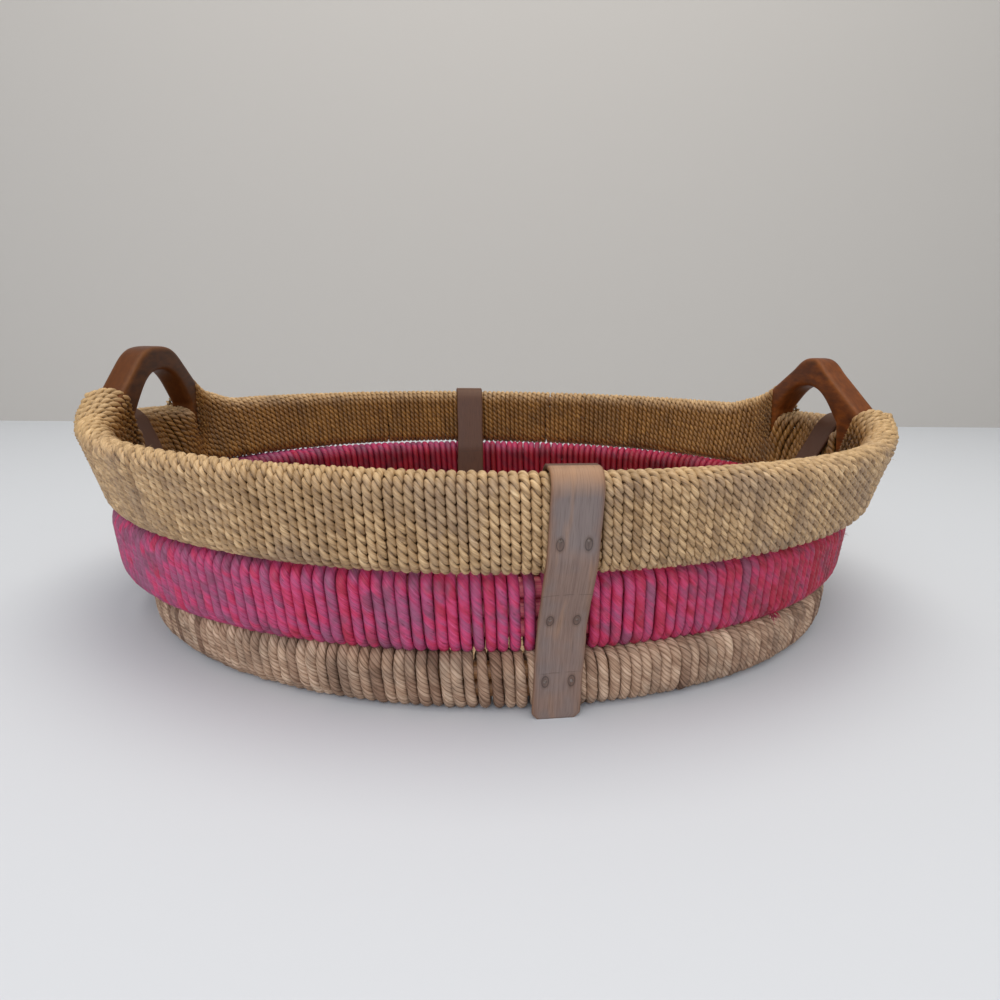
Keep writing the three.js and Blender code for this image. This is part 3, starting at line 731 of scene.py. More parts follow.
# %% Finish of the middle cord
dyed, tree = material("dyed_soft_cord")
place = add(tree, "TexCoord", out="Object")
x = add(tree, "SeparateXYZ", out="X", Vector=place)
tone, inside = (add(tree, "Attribute", {"attribute_name": name}, "Fac")
                for name in ("tone", "inside"))
fibres, creases, uptake = (
    add(tree, "TexNoise", Vector=along_cord(tree, *sizes, 2.8), Scale=1.0, Detail=3.0,
        Roughness=roughness)
    for sizes, roughness in (((0.6, 9.0), 0.65), ((1.4, 3.5), 0.7), ((6.0, 16.0), 0.6)))
blooms = add(tree, "TexNoise", Vector=place, Scale=60.0, Detail=3.0, Roughness=0.6)
hue = add(tree, "Math", {"operation": "MULTIPLY_ADD"}, input_0=x, input_1=0.5, input_2=uptake)
hue = add(tree, "Math", {"operation": "MULTIPLY_ADD"}, input_0=tone, input_1=0.09, input_2=hue)
dye = add(tree, "ValToRGB", {"stops": (
    (0.26, "#A05E7E"), (0.4, "#B85480"), (0.5, "#D04A7C"), (0.6, "#CE3C68"),
    (0.74, "#B93050"))}, Fac=hue)
lines = add(tree, "ValToRGB", {"stops": (
    (0.34, "#A88C98"), (0.52, "#F0E6EA"), (0.7, "#FFFFFF"))}, Fac=fibres)
redder = add(tree, "ValToRGB", {"stops": ((0.0, "#FFFFFF"), (1.0, "#E8CAC4"))}, Fac=add(
    tree, "MapRange", Value=x, From_Min=0.02, From_Max=0.18))
folds = add(tree, "ValToRGB", {"stops": ((0.3, "#6E3C56"), (0.4, "#FFFFFF"))}, Fac=creases)
greyed = add(tree, "MapRange", Value=blooms, From_Min=0.52, From_Max=0.64, To_Max=0.65)
# Painted highlight: pale pink streaks on the brightest fibres.
painted_highlight_streaks = add(tree, "MapRange", Value=fibres, From_Min=0.62, From_Max=0.8, To_Max=0.35)
furrows = add(tree, "Mix", {"data_type": "RGBA", "blend_type": "ADD"}, 2,
              input_0=0.6, input_6=fibres, input_7=strands(tree, 7))
complete(tree, dye, (
    ("MIX", greyed, "#865068"),
    ("MULTIPLY", 0.75, lines),
    ("MULTIPLY", 1.0, redder),
    ("MULTIPLY", 0.7, folds),
    ("MIX", painted_highlight_streaks, "#F0A0BC"),
    # Painted shade: the inner side of the hoop, inside the tray, is darkened to deep crimson.
    ("MULTIPLY", inside, "#B0405A")),
    furrows, 0.5, 0.3 * MM, Roughness=0.5, Specular_IOR_Level=0.35)
print(dyed.name, len(tree.nodes), "nodes")

# %% [markdown]
# The bottom cord is raw plant fibre, undyed and hardly finished. It is dull and beige-brown,
# with grey patches, dark furrows between its strands and a tone that changes turn by turn.

# %% Finish of the bottom cord
raw, tree = material("twisted_raw_fibre_cord")
place = add(tree, "TexCoord", out="Object")
tone = add(tree, "Attribute", {"attribute_name": "tone"}, "Fac")
tone = add(tree, "Math", {"operation": "MULTIPLY_ADD"}, input_0=tone, input_1=0.3, input_2=0.5)
fibres = add(tree, "TexNoise", Vector=along_cord(tree, 0.6, 9.0, 2.8), Scale=1.0,
             Detail=3.0, Roughness=0.65)
patches = add(tree, "TexNoise", Vector=along_cord(tree, 4.0, 12.0, 2.8), Scale=1.0,
              Roughness=0.6)
stains = add(tree, "TexNoise", Vector=place, Scale=44.0, Detail=3.0, Roughness=0.6)
fibre = add(tree, "ValToRGB", {"stops": (
    (0.26, "#AA8E7C"), (0.42, "#CAB09C"), (0.58, "#E0C9B6"), (0.76, "#F6E2CE"))}, Fac=patches)
lines = add(tree, "ValToRGB", {"stops": (
    (0.32, "#9C8C80"), (0.5, "#EAE2DA"), (0.68, "#FFFFFF"))}, Fac=fibres)
shadows = add(tree, "ValToRGB", {"stops": (
    (0.0, "#7A6654"), (0.22, "#F4EEE6"), (0.6, "#FFFFFF"))}, Fac=strands(tree, 6))
turns = add(tree, "ValToRGB", {"stops": (
    (0.0, "#A8968C"), (0.5, "#F0E8E0"), (1.0, "#FFFCF6"))}, Fac=tone)
greyed = add(tree, "MapRange", Value=stains, From_Min=0.48, From_Max=0.62, To_Max=0.6)
furrows = add(tree, "Mix", {"data_type": "RGBA", "blend_type": "ADD"}, 2,
              input_0=0.7, input_6=fibres, input_7=strands(tree, 6))
complete(tree, fibre, (
    ("MIX", greyed, "#A09084"),
    ("MULTIPLY", 0.85, lines),
    ("MULTIPLY", 0.6, shadows),
    ("MULTIPLY", 0.9, turns)),
    furrows, 0.6, 0.4 * MM, Roughness=0.72, Specular_IOR_Level=0.35)
print(raw.name, len(tree.nodes), "nodes")

# %% Make the middle and the bottom cord
wound_pieces(middle, middle_path, middle_grid, ("front", "back"), dyed)
wound_pieces(bottom, bottom_path, bottom_grid, ("front", "back"), raw)

# %% [markdown]
# ## Canes
#
# The cores are round rattan canes. They show only where the turns have parted: in the gap
# beside the front strap, between the hoops and in the wedges at the handles. Rattan is
# smooth and slightly shiny, with a darker ring where each leaf grew. The canes of the
# middle hoop took the dye of the cord over them.

# %% Finish of the canes
LEAF_SPACING, LEAF_RING = 180 * MM, 2 * MM


def cane_finish(name, colours, ring_colour):
    """Rattan: colour along the cane, with a thin dark ring where each leaf grew."""
    made, tree = material(name)
    streaks = add(tree, "TexNoise", Vector=along_cord(tree, 0.8, 40.0, 4.7), Scale=1.0,
                  Detail=3.0)
    colour = add(tree, "ValToRGB", {"stops": colours}, Fac=streaks)
    run = add(tree, "SeparateXYZ", out="X", Vector=add(tree, "UVMap", {"uv_map": "UVMap"}))
    away = add(tree, "Math", {"operation": "PINGPONG"}, input_0=run, input_1=LEAF_SPACING / 2)
    ring = add(tree, "MapRange", Value=away, From_Min=LEAF_RING, From_Max=0.0)
    complete(tree, colour, [("MIX", ring, ring_colour)], streaks, 0.3, 0.2 * MM,
             Roughness=0.42, Specular_IOR_Level=0.5)
    print(name, len(tree.nodes), "nodes")
    return made


plain_cane = cane_finish(
    "rattan_cane", ((0.3, "#7E5330"), (0.5, "#A87448"), (0.7, "#C08E5C")), "#4E3018")
dyed_cane = cane_finish(
    "dyed_rattan_cane", ((0.3, "#C4486A"), (0.5, "#E4687C"), (0.7, "#F08C8C")), "#7A2440")

# %% Make the canes
CANE_RINGS, FIRST_JOINT, NEXT_JOINT = 240, 0.37, 0.19


def make_cane(hoop, number, finish):
    """A round tube round the hoop at the height of one cane, open at its butt joint."""
    rise = -hoop.core / 2 + hoop.cane / 2 + number * (hoop.cane + FIT)
    joint = FIRST_JOINT + NEXT_JOINT * number
    end = 0.5 * MM / hoop.length
    turn = np.linspace(joint + end, joint + 1 - end, CANE_RINGS)
    zeros = np.zeros(CANE_RINGS)
    _, outward, along = hoop.axes(turn)
    normal = np.concatenate([outward, zeros[:, None]], 1)
    side = np.cross(np.concatenate([along, zeros[:, None]], 1), normal)
    path = {"points": hoop.place(turn, zeros, zeros + rise), "normal": normal, "side": side,
            "length": (turn - joint) * hoop.length, "w": zeros, "tone": zeros}
    angles = np.arange(14) * np.pi / 7
    grid = capped(tube(path, angles, np.full(14, hoop.cane / 2)))
    name = f"{hoop.name}_cane_{number + 1}"
    piece(f"{name}_round", surface(f"{name}_round", [grid]), finish, [name])


for hoop in (top, middle, bottom):
    finish, slot = (dyed_cane, "dyed_cane") if hoop is middle else (plain_cane, "cane")
    for number in range(hoop.canes):
        make_cane(hoop, number, finish)

# %% [markdown]
# ## Straps
#
# The straps are strips of thin veneer, steamed and bent over the hoops. They went grey
# with age and kept their warm brown where the bend over the rim opened the grain. A strap
# is one closed section carried along a line. The line is the one that the solid follows:
# nailed against the lower hoops, taut over the top one, and down inside to the mat. Its
# corners are given in mm, as distance out from the top hoop's core and height.

# %% Line of a strap
STRAP_THICKNESS = 2.2 * MM
ROUND_CORNER = 2.6 * MM
UPWARD = np.array([0, 0, 1.0])
NAIL_SPREAD = 6.5 * MM
NAIL_HEIGHTS = (19.75 * MM, 52.5 * MM, 93.95 * MM)
STRAPS = {
    "front": {"turn": 0.75 + 24 * MM / top.length, "width": 24.2 * MM, "corners": (
        (-3.4, 0), (-3.4, 23.7), (-2.0, 50), (9.2, 84), (10.8, 117.7),
        (6.8, 123.4), (-4.5, 123.4), (-9.1, 117.7), (-25.3, 68.4), (-28.5, 36.7),
        (-27.2, 12.3)), "skew": 3.2 * MM},
    "back": {"turn": 0.25 + 14 * MM / top.length, "width": 25.4 * MM, "corners": (
        (-3.3, 0), (-3.3, 23.7), (-2.1, 48.5), (-2.1, 56.4), (8.9, 80), (10.8, 117.7),
        (6.7, 123.4), (-4.5, 123.4), (-9.1, 117.7), (-24.8, 68.4), (-28, 36.7),
        (-27.1, 12.3))},
    "left": {"turn": 0.5, "width": 25.4 * MM, "corners": (
        (-17.3, 0), (-17.3, 23.6), (-4.3, 31), (0.5, 36.6), (3.7, 48.5), (3.7, 56.5),
        (17, 117.6), (14.8, 123.4), (3.2, 123.4), (-3.2, 117.8), (-39.2, 24.8),
        (-41.2, 12.3))},
    "right": {"turn": 0.0, "width": 25.4 * MM, "corners": (
        (-17.3, 0), (-17.3, 23.7), (-9.5, 36.6), (-6.3, 48.5), (-6.3, 56.4), (2.7, 80),
        (17, 117.6), (14.8, 123.4), (3.2, 123.4), (-3.2, 117.8), (-29, 68.4),
        (-39.2, 24.8), (-41.2, 12.3))}}


def askew(strap, height):
    """How far a strap has run aside at a height: nothing at the rim, its skew at the foot."""
    return -strap.get("skew", 0.0) * (1 - height / top.top)


def strap_frame(turn):
    """Base point, outward and along directions of the upright plane of a strap."""
    core, outward, along = top.axes(np.array([turn]))
    base = np.array([*core[0], 0.0])
    return base, np.array([*outward[0], 0.0]), np.array([*along[0], 0.0])


# %% Bend a line
def evenly(line, count):
    """Points at equal lengths along a line of points."""
    run = run_along(line)
    share = np.linspace(0, run[-1], count)
    return np.stack([np.interp(share, run, line[:, i]) for i in (0, 1)], -1)


def bent_line(corners, step=0.8 * MM, softness=5):
    """Even points along a line of corners, with each corner rounded: a running mean over
    a few points, which leaves straight stretches straight."""
    corners = np.array(corners) * MM
    line = evenly(corners, int(run_along(corners)[-1] / step) + 1)
    padded = np.concatenate([
        2 * line[0] - line[softness:0:-1], line, 2 * line[-1] - line[-2:-softness - 2:-1]])
    kernel = np.hanning(2 * softness + 3)[1:-1]
    kernel /= kernel.sum()
    return np.stack([np.convolve(padded[:, i], kernel, "valid") for i in (0, 1)], -1)


# %% Carry the section of a strap along its line
def strap_section(columns=25):
    """Closed section of a strap as (share of half width, share of thickness): the outer
    face, a rounded edge, the inner face and the other edge."""
    across = np.linspace(-1, 1, columns)
    outer = np.stack([across * 0.955, np.ones(columns)], -1)
    edge = np.array([(0.985, 0.86), (1.0, 0.5), (0.985, 0.14)])
    inner = np.stack([across[::-1] * 0.955, np.zeros(columns)], -1)
    return np.concatenate([outer, edge, inner, (edge * [-1, 1])[::-1]])


def make_strap(side, strap, finish):
    """The strap's section carried along its bent line, in the upright plane of its place.
    Its foot is clipped to a round corner, and its edges wander a little inward."""
    base, outward, along = strap_frame(strap["turn"])
    width = strap["width"]
    line = bent_line(strap["corners"])
    direction = unit(np.gradient(line, axis=0))
    normal = np.stack([direction[:, 1], -direction[:, 0]], -1)
    run = run_along(line)
    clip = np.minimum(run, ROUND_CORNER) - ROUND_CORNER
    edge = wobble(run / MM, 9.0, 0.15 * MM)
    half = width / 2 + clip + np.minimum(edge, 0)
    section = strap_section()
    lift = section[None, :, 1] * STRAP_THICKNESS
    flat = line[:, None, :] + normal[:, None, :] * lift[..., None]
    sideways = section[None, :, 0] * half[:, None] + askew(strap, line[:, 1])[:, None]
    points = (base + flat[..., :1] * outward + flat[..., 1:] * UPWARD
              + sideways[..., None] * along)
    inside = np.broadcast_to((run > run[np.argmax(line[:, 1])])[:, None], sideways.shape)
    edges = np.broadcast_to(np.abs(section[None, :, 0]) ** 10, sideways.shape)
    grid = {"points": points, "u": run,
            "v": np.concatenate([section[:, 0], section[:1, 0]]) * width / 2,
            "inside": inside.astype(float), "edge": edges}
    name = f"{side}_strap_bent"
    piece(name, surface(name, [capped(grid)]), finish, [f"{side}_strap"])


front_run = run_along(bent_line(STRAPS["front"]["corners"]))
print("front strap", round(front_run[-1] / MM), "mm long")

# %% Colours of the straps
CREASE_HEIGHTS = (26 * MM, 68 * MM)

veneer, tree = material("aged_bent_veneer")
uv = add(tree, "UVMap", {"uv_map": "UVMap"})
place = add(tree, "TexCoord", out="Object")
height = add(tree, "SeparateXYZ", out="Z", Vector=place)
edge, inside = (add(tree, "Attribute", {"attribute_name": name}, "Fac")
                for name in ("edge", "inside"))
figure, pores, glow = (
    add(tree, "TexNoise", Vector=add(tree, "Mapping", Vector=uv, Scale=stretch), Scale=1.0,
        Detail=detail, Roughness=roughness)
    for stretch, detail, roughness in (
        ((14.0, 700.0, 1.0), 4.0, 0.6), ((90.0, 2600.0, 1.0), 2.0, 0.5),
        ((28.0, 160.0, 1.0), 2.0, 0.5)))
wash = add(tree, "TexNoise", Vector=place, Scale=30.0, Detail=3.0, Roughness=0.6)
wood = add(tree, "ValToRGB", {"stops": (
    (0.3, "#745E56"), (0.5, "#806A60"), (0.72, "#8C766C"))}, Fac=figure)
lines = add(tree, "ValToRGB", {"stops": ((0.36, "#8A8078"), (0.5, "#FFFFFF"))}, Fac=pores)
washed = add(tree, "MapRange", Value=wash, From_Min=0.45, From_Max=0.62, To_Max=0.6)
glowing = add(tree, "MapRange", Value=glow, From_Min=0.58, From_Max=0.75, To_Max=0.45)
warm = add(tree, "MapRange", Value=height, From_Min=0.113, From_Max=0.1235, To_Max=0.7)
coats = [
    ("MIX", washed, "#736D6E"),
    ("MIX", glowing, "#A07C62"),
    ("MIX", warm, "#A9805C"),
    ("MIX", add(tree, "MapRange", Value=edge, To_Max=0.7), "#7A5232"),
    # Painted shade: the part of a strap that runs down inside the tray is darkened to deep
    # brown.
    ("MIX", add(tree, "MapRange", Value=inside, To_Max=0.9), "#4C2B19"),
    ("MULTIPLY", 0.3, lines)]
uneven = add(tree, "Math", {"operation": "MULTIPLY_ADD"}, input_1=4 * MM, input_2=height,
             input_0=add(tree, "TexNoise", Vector=place, Scale=60.0))
here = add(tree, "MapRange", Value=glow, From_Min=0.4, From_Max=0.5)
for level in CREASE_HEIGHTS:
    away = add(tree, "Math", {"operation": "SUBTRACT"}, input_0=uneven, input_1=level)
    away = add(tree, "Math", {"operation": "ABSOLUTE"}, input_0=away)
    crease = add(tree, "MapRange", Value=away, From_Min=0.35 * MM, From_Max=0.0, To_Max=0.55)
    crease = add(tree, "Math", {"operation": "MULTIPLY"}, input_0=crease, input_1=here)
    coats.append(("MIX", crease, "#3A302C"))

# %% [markdown]
# A nail pulls the veneer in as it goes home, and the grain tears along the strap below it.
# Each dent is drawn by its distance from the nail: a dark ring with a short tail.

# %% Dents of the nails
DENT_REACH, TAIL_SHARE = 4 * MM, 0.6

depth = DENT_REACH
squashed = add(tree, "Mapping", Vector=uv, Scale=(TAIL_SHARE, 1.0, 1.0))
for height_of_nail in NAIL_HEIGHTS:
    for spread in (-NAIL_SPREAD, NAIL_SPREAD):
        away = add(tree, "VectorMath", {"operation": "DISTANCE"}, "Value", input_0=squashed,
                   input_1=(TAIL_SHARE * height_of_nail, spread, 0.0))
        depth = add(tree, "Math", {"operation": "MINIMUM"}, input_0=away, input_1=depth)
dent = add(tree, "ValToRGB", {"stops": (
    (0.0, "#B8ACA4"), (0.34, "#C8BEB8"), (0.42, "#54463E"), (0.5, "#DCD4CE"),
    (0.7, "#FFFFFF"))}, Fac=add(tree, "MapRange", Value=depth, From_Max=DENT_REACH))
outside = add(tree, "MapRange", Value=inside, To_Min=0.75, To_Max=0.0)
coats.append(("MULTIPLY", outside, dent))
complete(tree, wood, coats, figure, 0.4, 0.15 * MM, Roughness=0.55, Specular_IOR_Level=0.35)
print(veneer.name, len(tree.nodes), "nodes")

# %% Make the straps
for side, strap in STRAPS.items():
    make_strap(side, strap, veneer)

# %% [markdown]
# ## Nails
#
# Two small wire nails hold a strap to each hoop. They were driven below the face of the
# veneer, so only a small dark head shows in its dent. A nail is a profile spun round its
# own axis. Plain steel goes dull brown in a humid room, so it is dark and hardly shines.

# %% Nails
steel, tree = material("dull_wire_nail_steel")
spots = add(tree, "TexNoise", Vector=add(tree, "TexCoord", out="Object"), Scale=900.0)
rust = add(tree, "ValToRGB", {"stops": ((0.35, "#5A4A42"), (0.6, "#857A74"))}, Fac=spots)
complete(tree, rust, Metallic=0.6, Roughness=0.6)
print(steel.name, len(tree.nodes), "nodes")

# Radius and depth in mm, from the point to the middle of the head.
NAIL_PROFILE = np.array([(0, -16), (0.8, -13.5), (0.8, -0.4), (0.9, 0.0), (0.95, 0.06),
                         (0.75, 0.12), (0, 0.16)]) * MM


def face_height(corners, height):
    """How far out the outer face of a strap is at a height, going up from its foot."""
    line = bent_line(corners)
    rising = line[:np.argmax(line[:, 1])]
    return np.interp(height, rising[:, 1], rising[:, 0]) + STRAP_THICKNESS


# %% Drive the nails
def make_nail(name, centre, outward, along):
    """The profile spun round the axis of the nail: its radius goes along the strap's plane,
    its depth goes outward."""
    angle = np.arange(12) * np.pi / 6
    ring = np.cos(angle)[:, None] * along + np.sin(angle)[:, None] * UPWARD
    points = (centre + NAIL_PROFILE[:, None, 1:] * outward
              + NAIL_PROFILE[:, None, :1] * ring[None])
    grid = {"points": points, "u": NAIL_PROFILE[:, 1], "v": np.arange(13) / 12}
    piece(f"{name}_driven", surface(f"{name}_driven", [grid]), steel, [name])


for side, strap in STRAPS.items():
    base_point, outward, along = strap_frame(strap["turn"])
    for level, height in zip(("bottom", "middle", "top"), NAIL_HEIGHTS):
        for number, spread in ((1, NAIL_SPREAD), (2, -NAIL_SPREAD)):
            centre = (base_point + outward * face_height(strap["corners"], height)
                      + height * UPWARD + along * (spread + askew(strap, height)))
            make_nail(f"{side}_nail_{level}_{number}", centre, outward, along)

# %% [markdown]
# ## Handles
#
# Each handle is sawn from a plank and rounded by hand. Seen along the tray it is a band
# between an outer and an inner outline, so the surface is a rounded rectangle carried from
# one heel over the crown to the other: one direction runs between the two outlines, the
# other through the plank. On the rounded edges the wood shows lighter: partly the stain
# wore thin there, partly it is a painted highlight.

# %% Handles
CORE_TOP = top.mid + top.core / 2
SQUARENESS = 0.32


def bezier(points, count=24):
    """Points of a cubic curve: each control point weighted by its share at t."""
    t = np.linspace(0, 1, count)[:, None]
    p = np.array(points, float)
    return ((1 - t) ** 3 * p[0] + 3 * (1 - t) ** 2 * t * p[1]
            + 3 * (1 - t) * t ** 2 * p[2] + t ** 3 * p[3])


def handle_outlines(cut, count=64):
    """Outer and inner outline of half a handle, from the crown to the heel, as
    (across the tray, above the canes) pairs."""
    rise, half = cut["rise"], cut["crown_half"]
    crown, grip_top, grip_half = rise - cut["crown_drop"], rise - cut["bar"], cut["grip_half"]
    slope = (crown - FOOT_TIP) / (FOOT_HALF - half)
    shoulder = bezier([
        (0, rise), (half / 2, rise), (half * 2 / 3, crown + slope * half / 3), (half, crown)])
    outer = np.concatenate([shoulder, [
        (71, crown - slope * (71 - half)), (73.5, 8), (72, -6), (70, -30)]])
    grip = bezier([
        (0, grip_top), (grip_half / 2, grip_top), (grip_half * 2 / 3, grip_top * 2 / 3),
        (grip_half, 6)])
    inner = np.concatenate([grip, [(52, -30)]])
    return evenly(outer, count) * MM, evenly(inner, count) * MM


# %% Carry a section along a handle
def make_handle(side, sign, finish):
    """Half outlines mirrored into a band, and a rounded rectangle carried along it. The
    outer side stays within the pared face of the leg."""
    outer, inner = (np.concatenate([(half * [-1, 1])[:0:-1], half])
                    for half in handle_outlines(CUTS[side]))
    middle_line, reach = (outer + inner) / 2, (outer - inner) / 2
    angle = np.arange(28) * 2 * np.pi / 28 + np.pi / 28
    a, b = (np.sign(wave) * np.abs(wave) ** SQUARENESS
            for wave in (np.cos(angle), np.sin(angle)))
    flatline = middle_line[:, None] + reach[:, None] * a[None, :, None]
    x = REACH + PLANK / 2 + np.broadcast_to(b * PLANK / 2, flatline.shape[:2])
    face = outer_face(np.abs(flatline[..., 0]), flatline[..., 1])
    x = np.where(b > 0, np.minimum(x, face), x)
    points = np.stack([sign * x, sign * flatline[..., 0], flatline[..., 1] + CORE_TOP], -1)
    # The rounded corners of the section are marked for lighter wood: partly worn stain, partly
    # a painted highlight.
    wear_and_highlight = np.abs(a * b)[None, :] ** 3 * np.ones((len(middle_line), 1))
    edge_face = np.broadcast_to(np.clip((np.abs(a) - np.abs(b)) * 2, 0, 1), wear_and_highlight.shape)
    grid = {"points": points, "u": run_along(middle_line), "v": np.arange(29) / 28 * 72 * MM,
            "wear_and_highlight": wear_and_highlight, "edge": edge_face}
    name = f"{side}_handle_sawn"
    piece(name, surface(name, [capped(grid)]), finish, [f"{side}_handle"])


# %% Finish of the handles
stained, tree = material("stained_rubbed_wood")
place = add(tree, "TexCoord", out="Object")
x = add(tree, "SeparateXYZ", out="X", Vector=place)
edge, wear_and_highlight = (add(tree, "Attribute", {"attribute_name": name}, "Fac")
              for name in ("edge", "wear_and_highlight"))
grain = add(tree, "Mapping", Vector=place, Scale=(520.0, 60.0, 260.0))
figure = add(tree, "TexNoise", Vector=grain, Scale=1.0, Detail=4.0, Roughness=0.6)
cloud = add(tree, "TexNoise", Vector=place, Scale=55.0, Detail=3.0, Roughness=0.55)
wood = add(tree, "ValToRGB", {"stops": (
    (0.3, "#46220A"), (0.5, "#6A350E"), (0.7, "#8A4A16"))}, Fac=figure)
cooler = add(tree, "ValToRGB", {"stops": ((0.0, "#A6B0A2"), (1.0, "#FFFFFF"))}, Fac=add(
    tree, "MapRange", Value=x, From_Min=-0.2, From_Max=0.2))
shaded = add(tree, "ValToRGB", {"stops": ((0.3, "#A89488"), (0.6, "#FFFFFF"))}, Fac=cloud)
complete(tree, wood, (
    ("MULTIPLY", 1.0, cooler),
    ("MULTIPLY", 0.6, shaded),
    ("MIX", add(tree, "MapRange", Value=edge, To_Max=0.5), "#5C3014"),
    # Lighter rounded edges: partly worn stain, partly a painted highlight.
    ("MIX", add(tree, "MapRange", Value=wear_and_highlight, To_Max=0.6), "#8C5830")),
    figure, 0.25, 0.15 * MM, Roughness=0.46, Specular_IOR_Level=0.12)
print(stained.name, len(tree.nodes), "nodes")

make_handle("right", 1, stained)
make_handle("left", -1, stained)

# %% [markdown]
# ## Base mat
#
# The photograph doesn't show the bottom of the tray. Such trays have a flat mat of the same
# seagrass, woven over and under. Each strip here is a low oval tube whose height follows a
# cosine, so that it goes over one crossing strip and under the next. A strip is as long as
# the oval is wide at its place.

# %% Mat
STRIP = 8.0 * MM
MAT_LOW, MAT_HIGH = 7 * MM, 12 * MM
STRIP_HALF, STRIP_RISE, STRIP_FILL = 0.95 * MM, 1.05 * MM, 0.47


def mat_strips(long_way):
    """Grids of the strips along the tray, or across it."""
    room = bottom.wall + bottom.cane / 2 + FIT + bottom.end_lean * (bottom.mid - MAT_LOW)
    a, b = bottom.half_length - room, bottom.half_width - room
    if not long_way:
        a, b = b, a
    count = int(b / STRIP)
    grids = []
    for row in range(-count, count + 1):
        place = row * STRIP
        reach = a * math.sqrt(max(0.0, 1 - (place / b) ** 2)) - 0.5 * MM
        if reach < 2 * STRIP:
            continue
        run = np.linspace(-reach, reach, int(2 * reach / (STRIP / 4)) + 1)
        phase = 0 if long_way else math.pi
        height = STRIP_RISE * np.cos(np.pi * (run / STRIP + row) + phase)
        path_z = (MAT_LOW + MAT_HIGH) / 2 + height
        angle = np.arange(8) * np.pi / 4
        wide = STRIP_FILL * STRIP * (1 + seeded.normal(0, 0.03))
        side = np.cos(angle)[None] * wide + place + wobble(
            (run + reach) / MM, 30.0, 0.15 * MM)[:, None]
        up_by = np.sin(angle)[None] * STRIP_HALF + path_z[:, None]
        along = np.broadcast_to(run[:, None], side.shape)
        order = (along, side, up_by) if long_way else (side[:, ::-1], along, up_by[:, ::-1])
        tone = np.full(side.shape, seeded.normal(0, 1.0))
        grids.append(close_ends({
            "points": np.stack(order, -1), "u": run + place * 7,
            "v": np.arange(9) / 8, "inside": np.zeros(side.shape), "tone": tone,
            "pit": np.zeros(side.shape)}))
    return grids


mat = mat_strips(True) + mat_strips(False)
piece("base_mat_woven", surface("base_mat_woven", mat), seagrass, ["base_mat"])

# %% [markdown]
# ## Loose fibres
#
# Seagrass sheds. Short hairs stand off the top cord, the end of a cord sticks out at the
# left, and the dyed cord is frayed where its ends were cut at the right. Each hair is a
# four-sided tube of a few rings, bent by a parabola and thinner at its tip.

# %% Hairs
def hairs(roots, leaving, lengths, radius, bend):
    """Grids of bent hairs. A hair leaves its root along a direction and bends aside with
    the square of the way it has gone."""
    share = np.linspace(0, 1, 6)[None, :, None]
    aside = unit(np.cross(leaving, seeded.normal(0, 1, leaving.shape)))
    away = lengths[:, None, None] * share
    lines = (roots[:, None] + leaving[:, None] * away
             + aside[:, None] * away * share * bend[:, None, None])
    across = unit(np.cross(leaving, aside))[:, None]
    thin = radius * (1 - 0.75 * share)
    angles = (np.arange(4) * np.pi / 2)[None, None, :, None]
    rings = np.cos(angles) * aside[:, None, None] + np.sin(angles) * across[:, :, None]
    points = lines[:, :, None] + rings * thin[:, :, None]
    tone = seeded.normal(0, 1.0, len(roots))
    flat = np.zeros((6, 4))
    return [close_ends({"points": hair, "u": share[0, :, 0] * 4 * MM,
                        "v": np.arange(5) / 4, "inside": flat, "pit": flat,
                        "tone": np.full((6, 4), value)})
            for hair, value in zip(points, tone)]


def rooted(path, chosen, lean):
    """Roots just under the skin of a cord at chosen samples, and directions that leave it
    mostly along the cord."""
    outward = path["normal"][chosen]
    roots = path["points"][chosen] + outward * 1.6 * MM
    sideways = seeded.normal(0, 1, (len(chosen), 3))
    return roots, unit(outward * lean + sideways * 0.8)


# %% Hairs and the loose end of the top cord
TOP_HAIRS = 420
chosen = seeded.choice(len(top_path["w"]), TOP_HAIRS, replace=False)
roots, leaving = rooted(top_path, chosen, 1.0)
lengths = seeded.uniform(1.5, 4.5, len(chosen)) * MM
top_hairs = hairs(roots, leaving, lengths, 0.11 * MM, seeded.uniform(-0.6, 0.6, len(chosen)))
end_root = np.array([[-0.2610, -0.0550, 0.1140], [-0.2610, -0.0540, 0.1160]])
end_way = unit(np.array([[-1.0, -0.25, 0.12], [-1.0, -0.15, -0.25]]))
top_hairs += hairs(end_root, end_way, np.array([7.5, 6.0]) * MM, 0.45 * MM,
                   np.array([0.3, -0.3]))
piece("top_cord_hairs", surface("top_cord_hairs", top_hairs), seagrass)


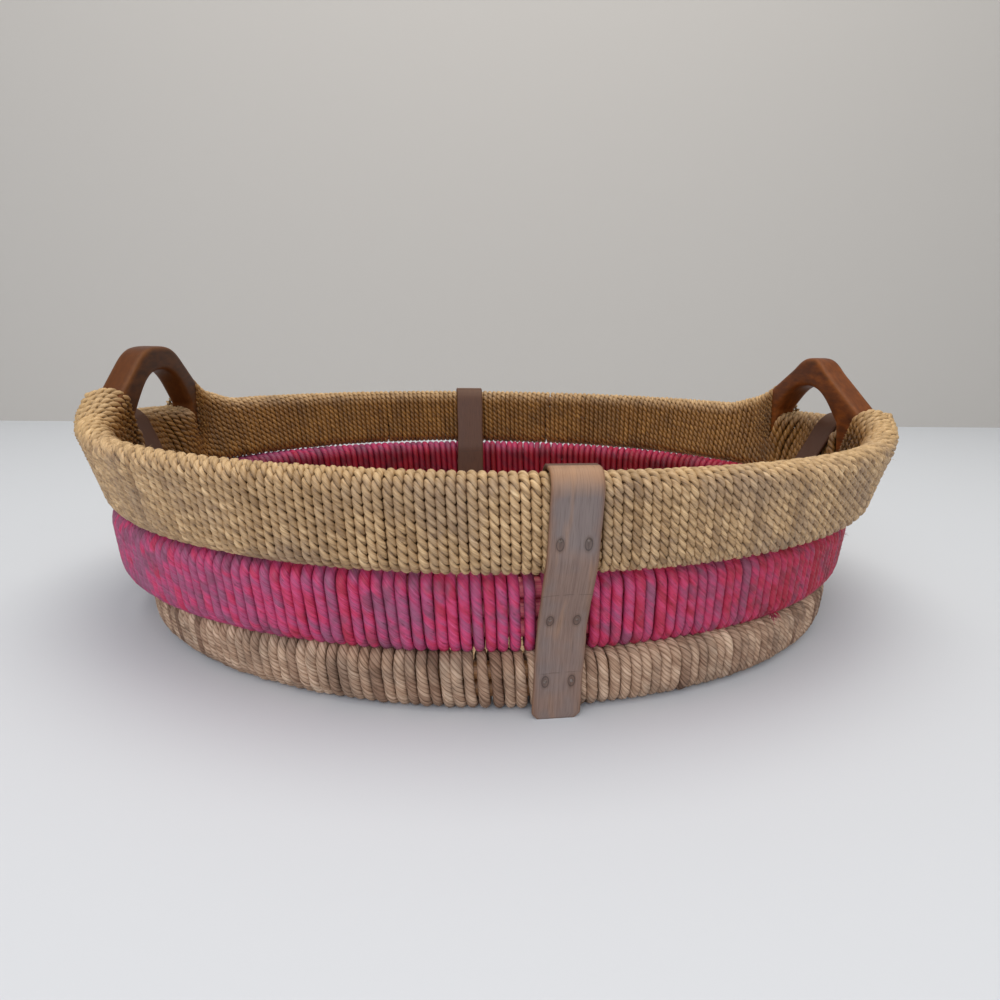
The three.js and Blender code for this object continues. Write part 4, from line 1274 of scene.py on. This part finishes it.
# %% Frayed ends of the dyed cord
def frayed_end(place, way, count, length):
    """A tuft: hairs that leave nearly one place in nearly one direction."""
    roots = np.array(place) * MM + seeded.normal(0, 0.9 * MM, (count, 3))
    leaving = unit(np.array(way) + seeded.normal(0, 0.35, (count, 3)))
    lengths = seeded.uniform(0.5, 1.0, count) * length
    return hairs(roots, leaving, lengths, 0.3 * MM, seeded.uniform(-0.5, 0.5, count))


tufts = (frayed_end((236, -58, 50), (0.8, -0.5, 0.1), 34, 8 * MM)
         + frayed_end((237, -55, 42), (0.9, -0.3, -0.5), 24, 6 * MM)
         + frayed_end((143, -166, 36), (0.4, -0.8, -0.4), 26, 6 * MM))
piece("middle_cord_frayed_ends", surface("middle_cord_frayed_ends", tufts), dyed)

# %% [markdown]
# ## Floor, wall and light
#
# The tray stands on a pale table before a pale wall. The light comes mostly from
# above, wide and soft: it is brighter on the rims than under the steps of the hoops.

# %% Stage
def plane(name, corners, colour, roughness):
    """A flat sheet of painted stage between four corners."""
    mesh = bpy.data.meshes.new(name)
    mesh.from_pydata(corners, [], [(0, 1, 2, 3)])
    made, tree = material(f"{name}_paint")
    complete(tree, colour, Roughness=roughness, Specular_IOR_Level=0.2)
    mesh.materials.append(made)
    into_scene(name, mesh)


plane("floor", [(-4, -3, 0), (4, -3, 0), (4, 0.9, 0), (-4, 0.9, 0)], "#CDD2D9", 0.6)
plane("backdrop", [(-4, 0.9, 0), (4, 0.9, 0), (4, 0.9, 4), (-4, 0.9, 4)], "#BFBDBA", 0.9)


# %% Light
def area_light(name, place, aim, size, power, colour):
    """A square lamp at a place, turned to look at its aim."""
    data = bpy.data.lights.new(name, "AREA")
    data.size, data.energy, data.color = size, power, linear(colour)[:3]
    lamp = into_scene(name, data)
    lamp.location = place
    lamp.rotation_euler = (Vector(aim) - Vector(place)).to_track_quat("-Z", "Y").to_euler()


area_light("overhead", (0.1, 0.0, 1.9), (0, 0, 0), 1.6, 23, "#FFF8EE")
area_light("front_fill", (-0.4, -1.7, 1.0), (0, 0, 0.06), 1.6, 17, "#F6F7FF")
world = bpy.data.worlds.new("room")
bpy.context.scene.world = world
world.use_nodes = True
world.node_tree.nodes["Background"].inputs["Color"].default_value = linear("#E6E4E0")
world.node_tree.nodes["Background"].inputs["Strength"].default_value = 0.7
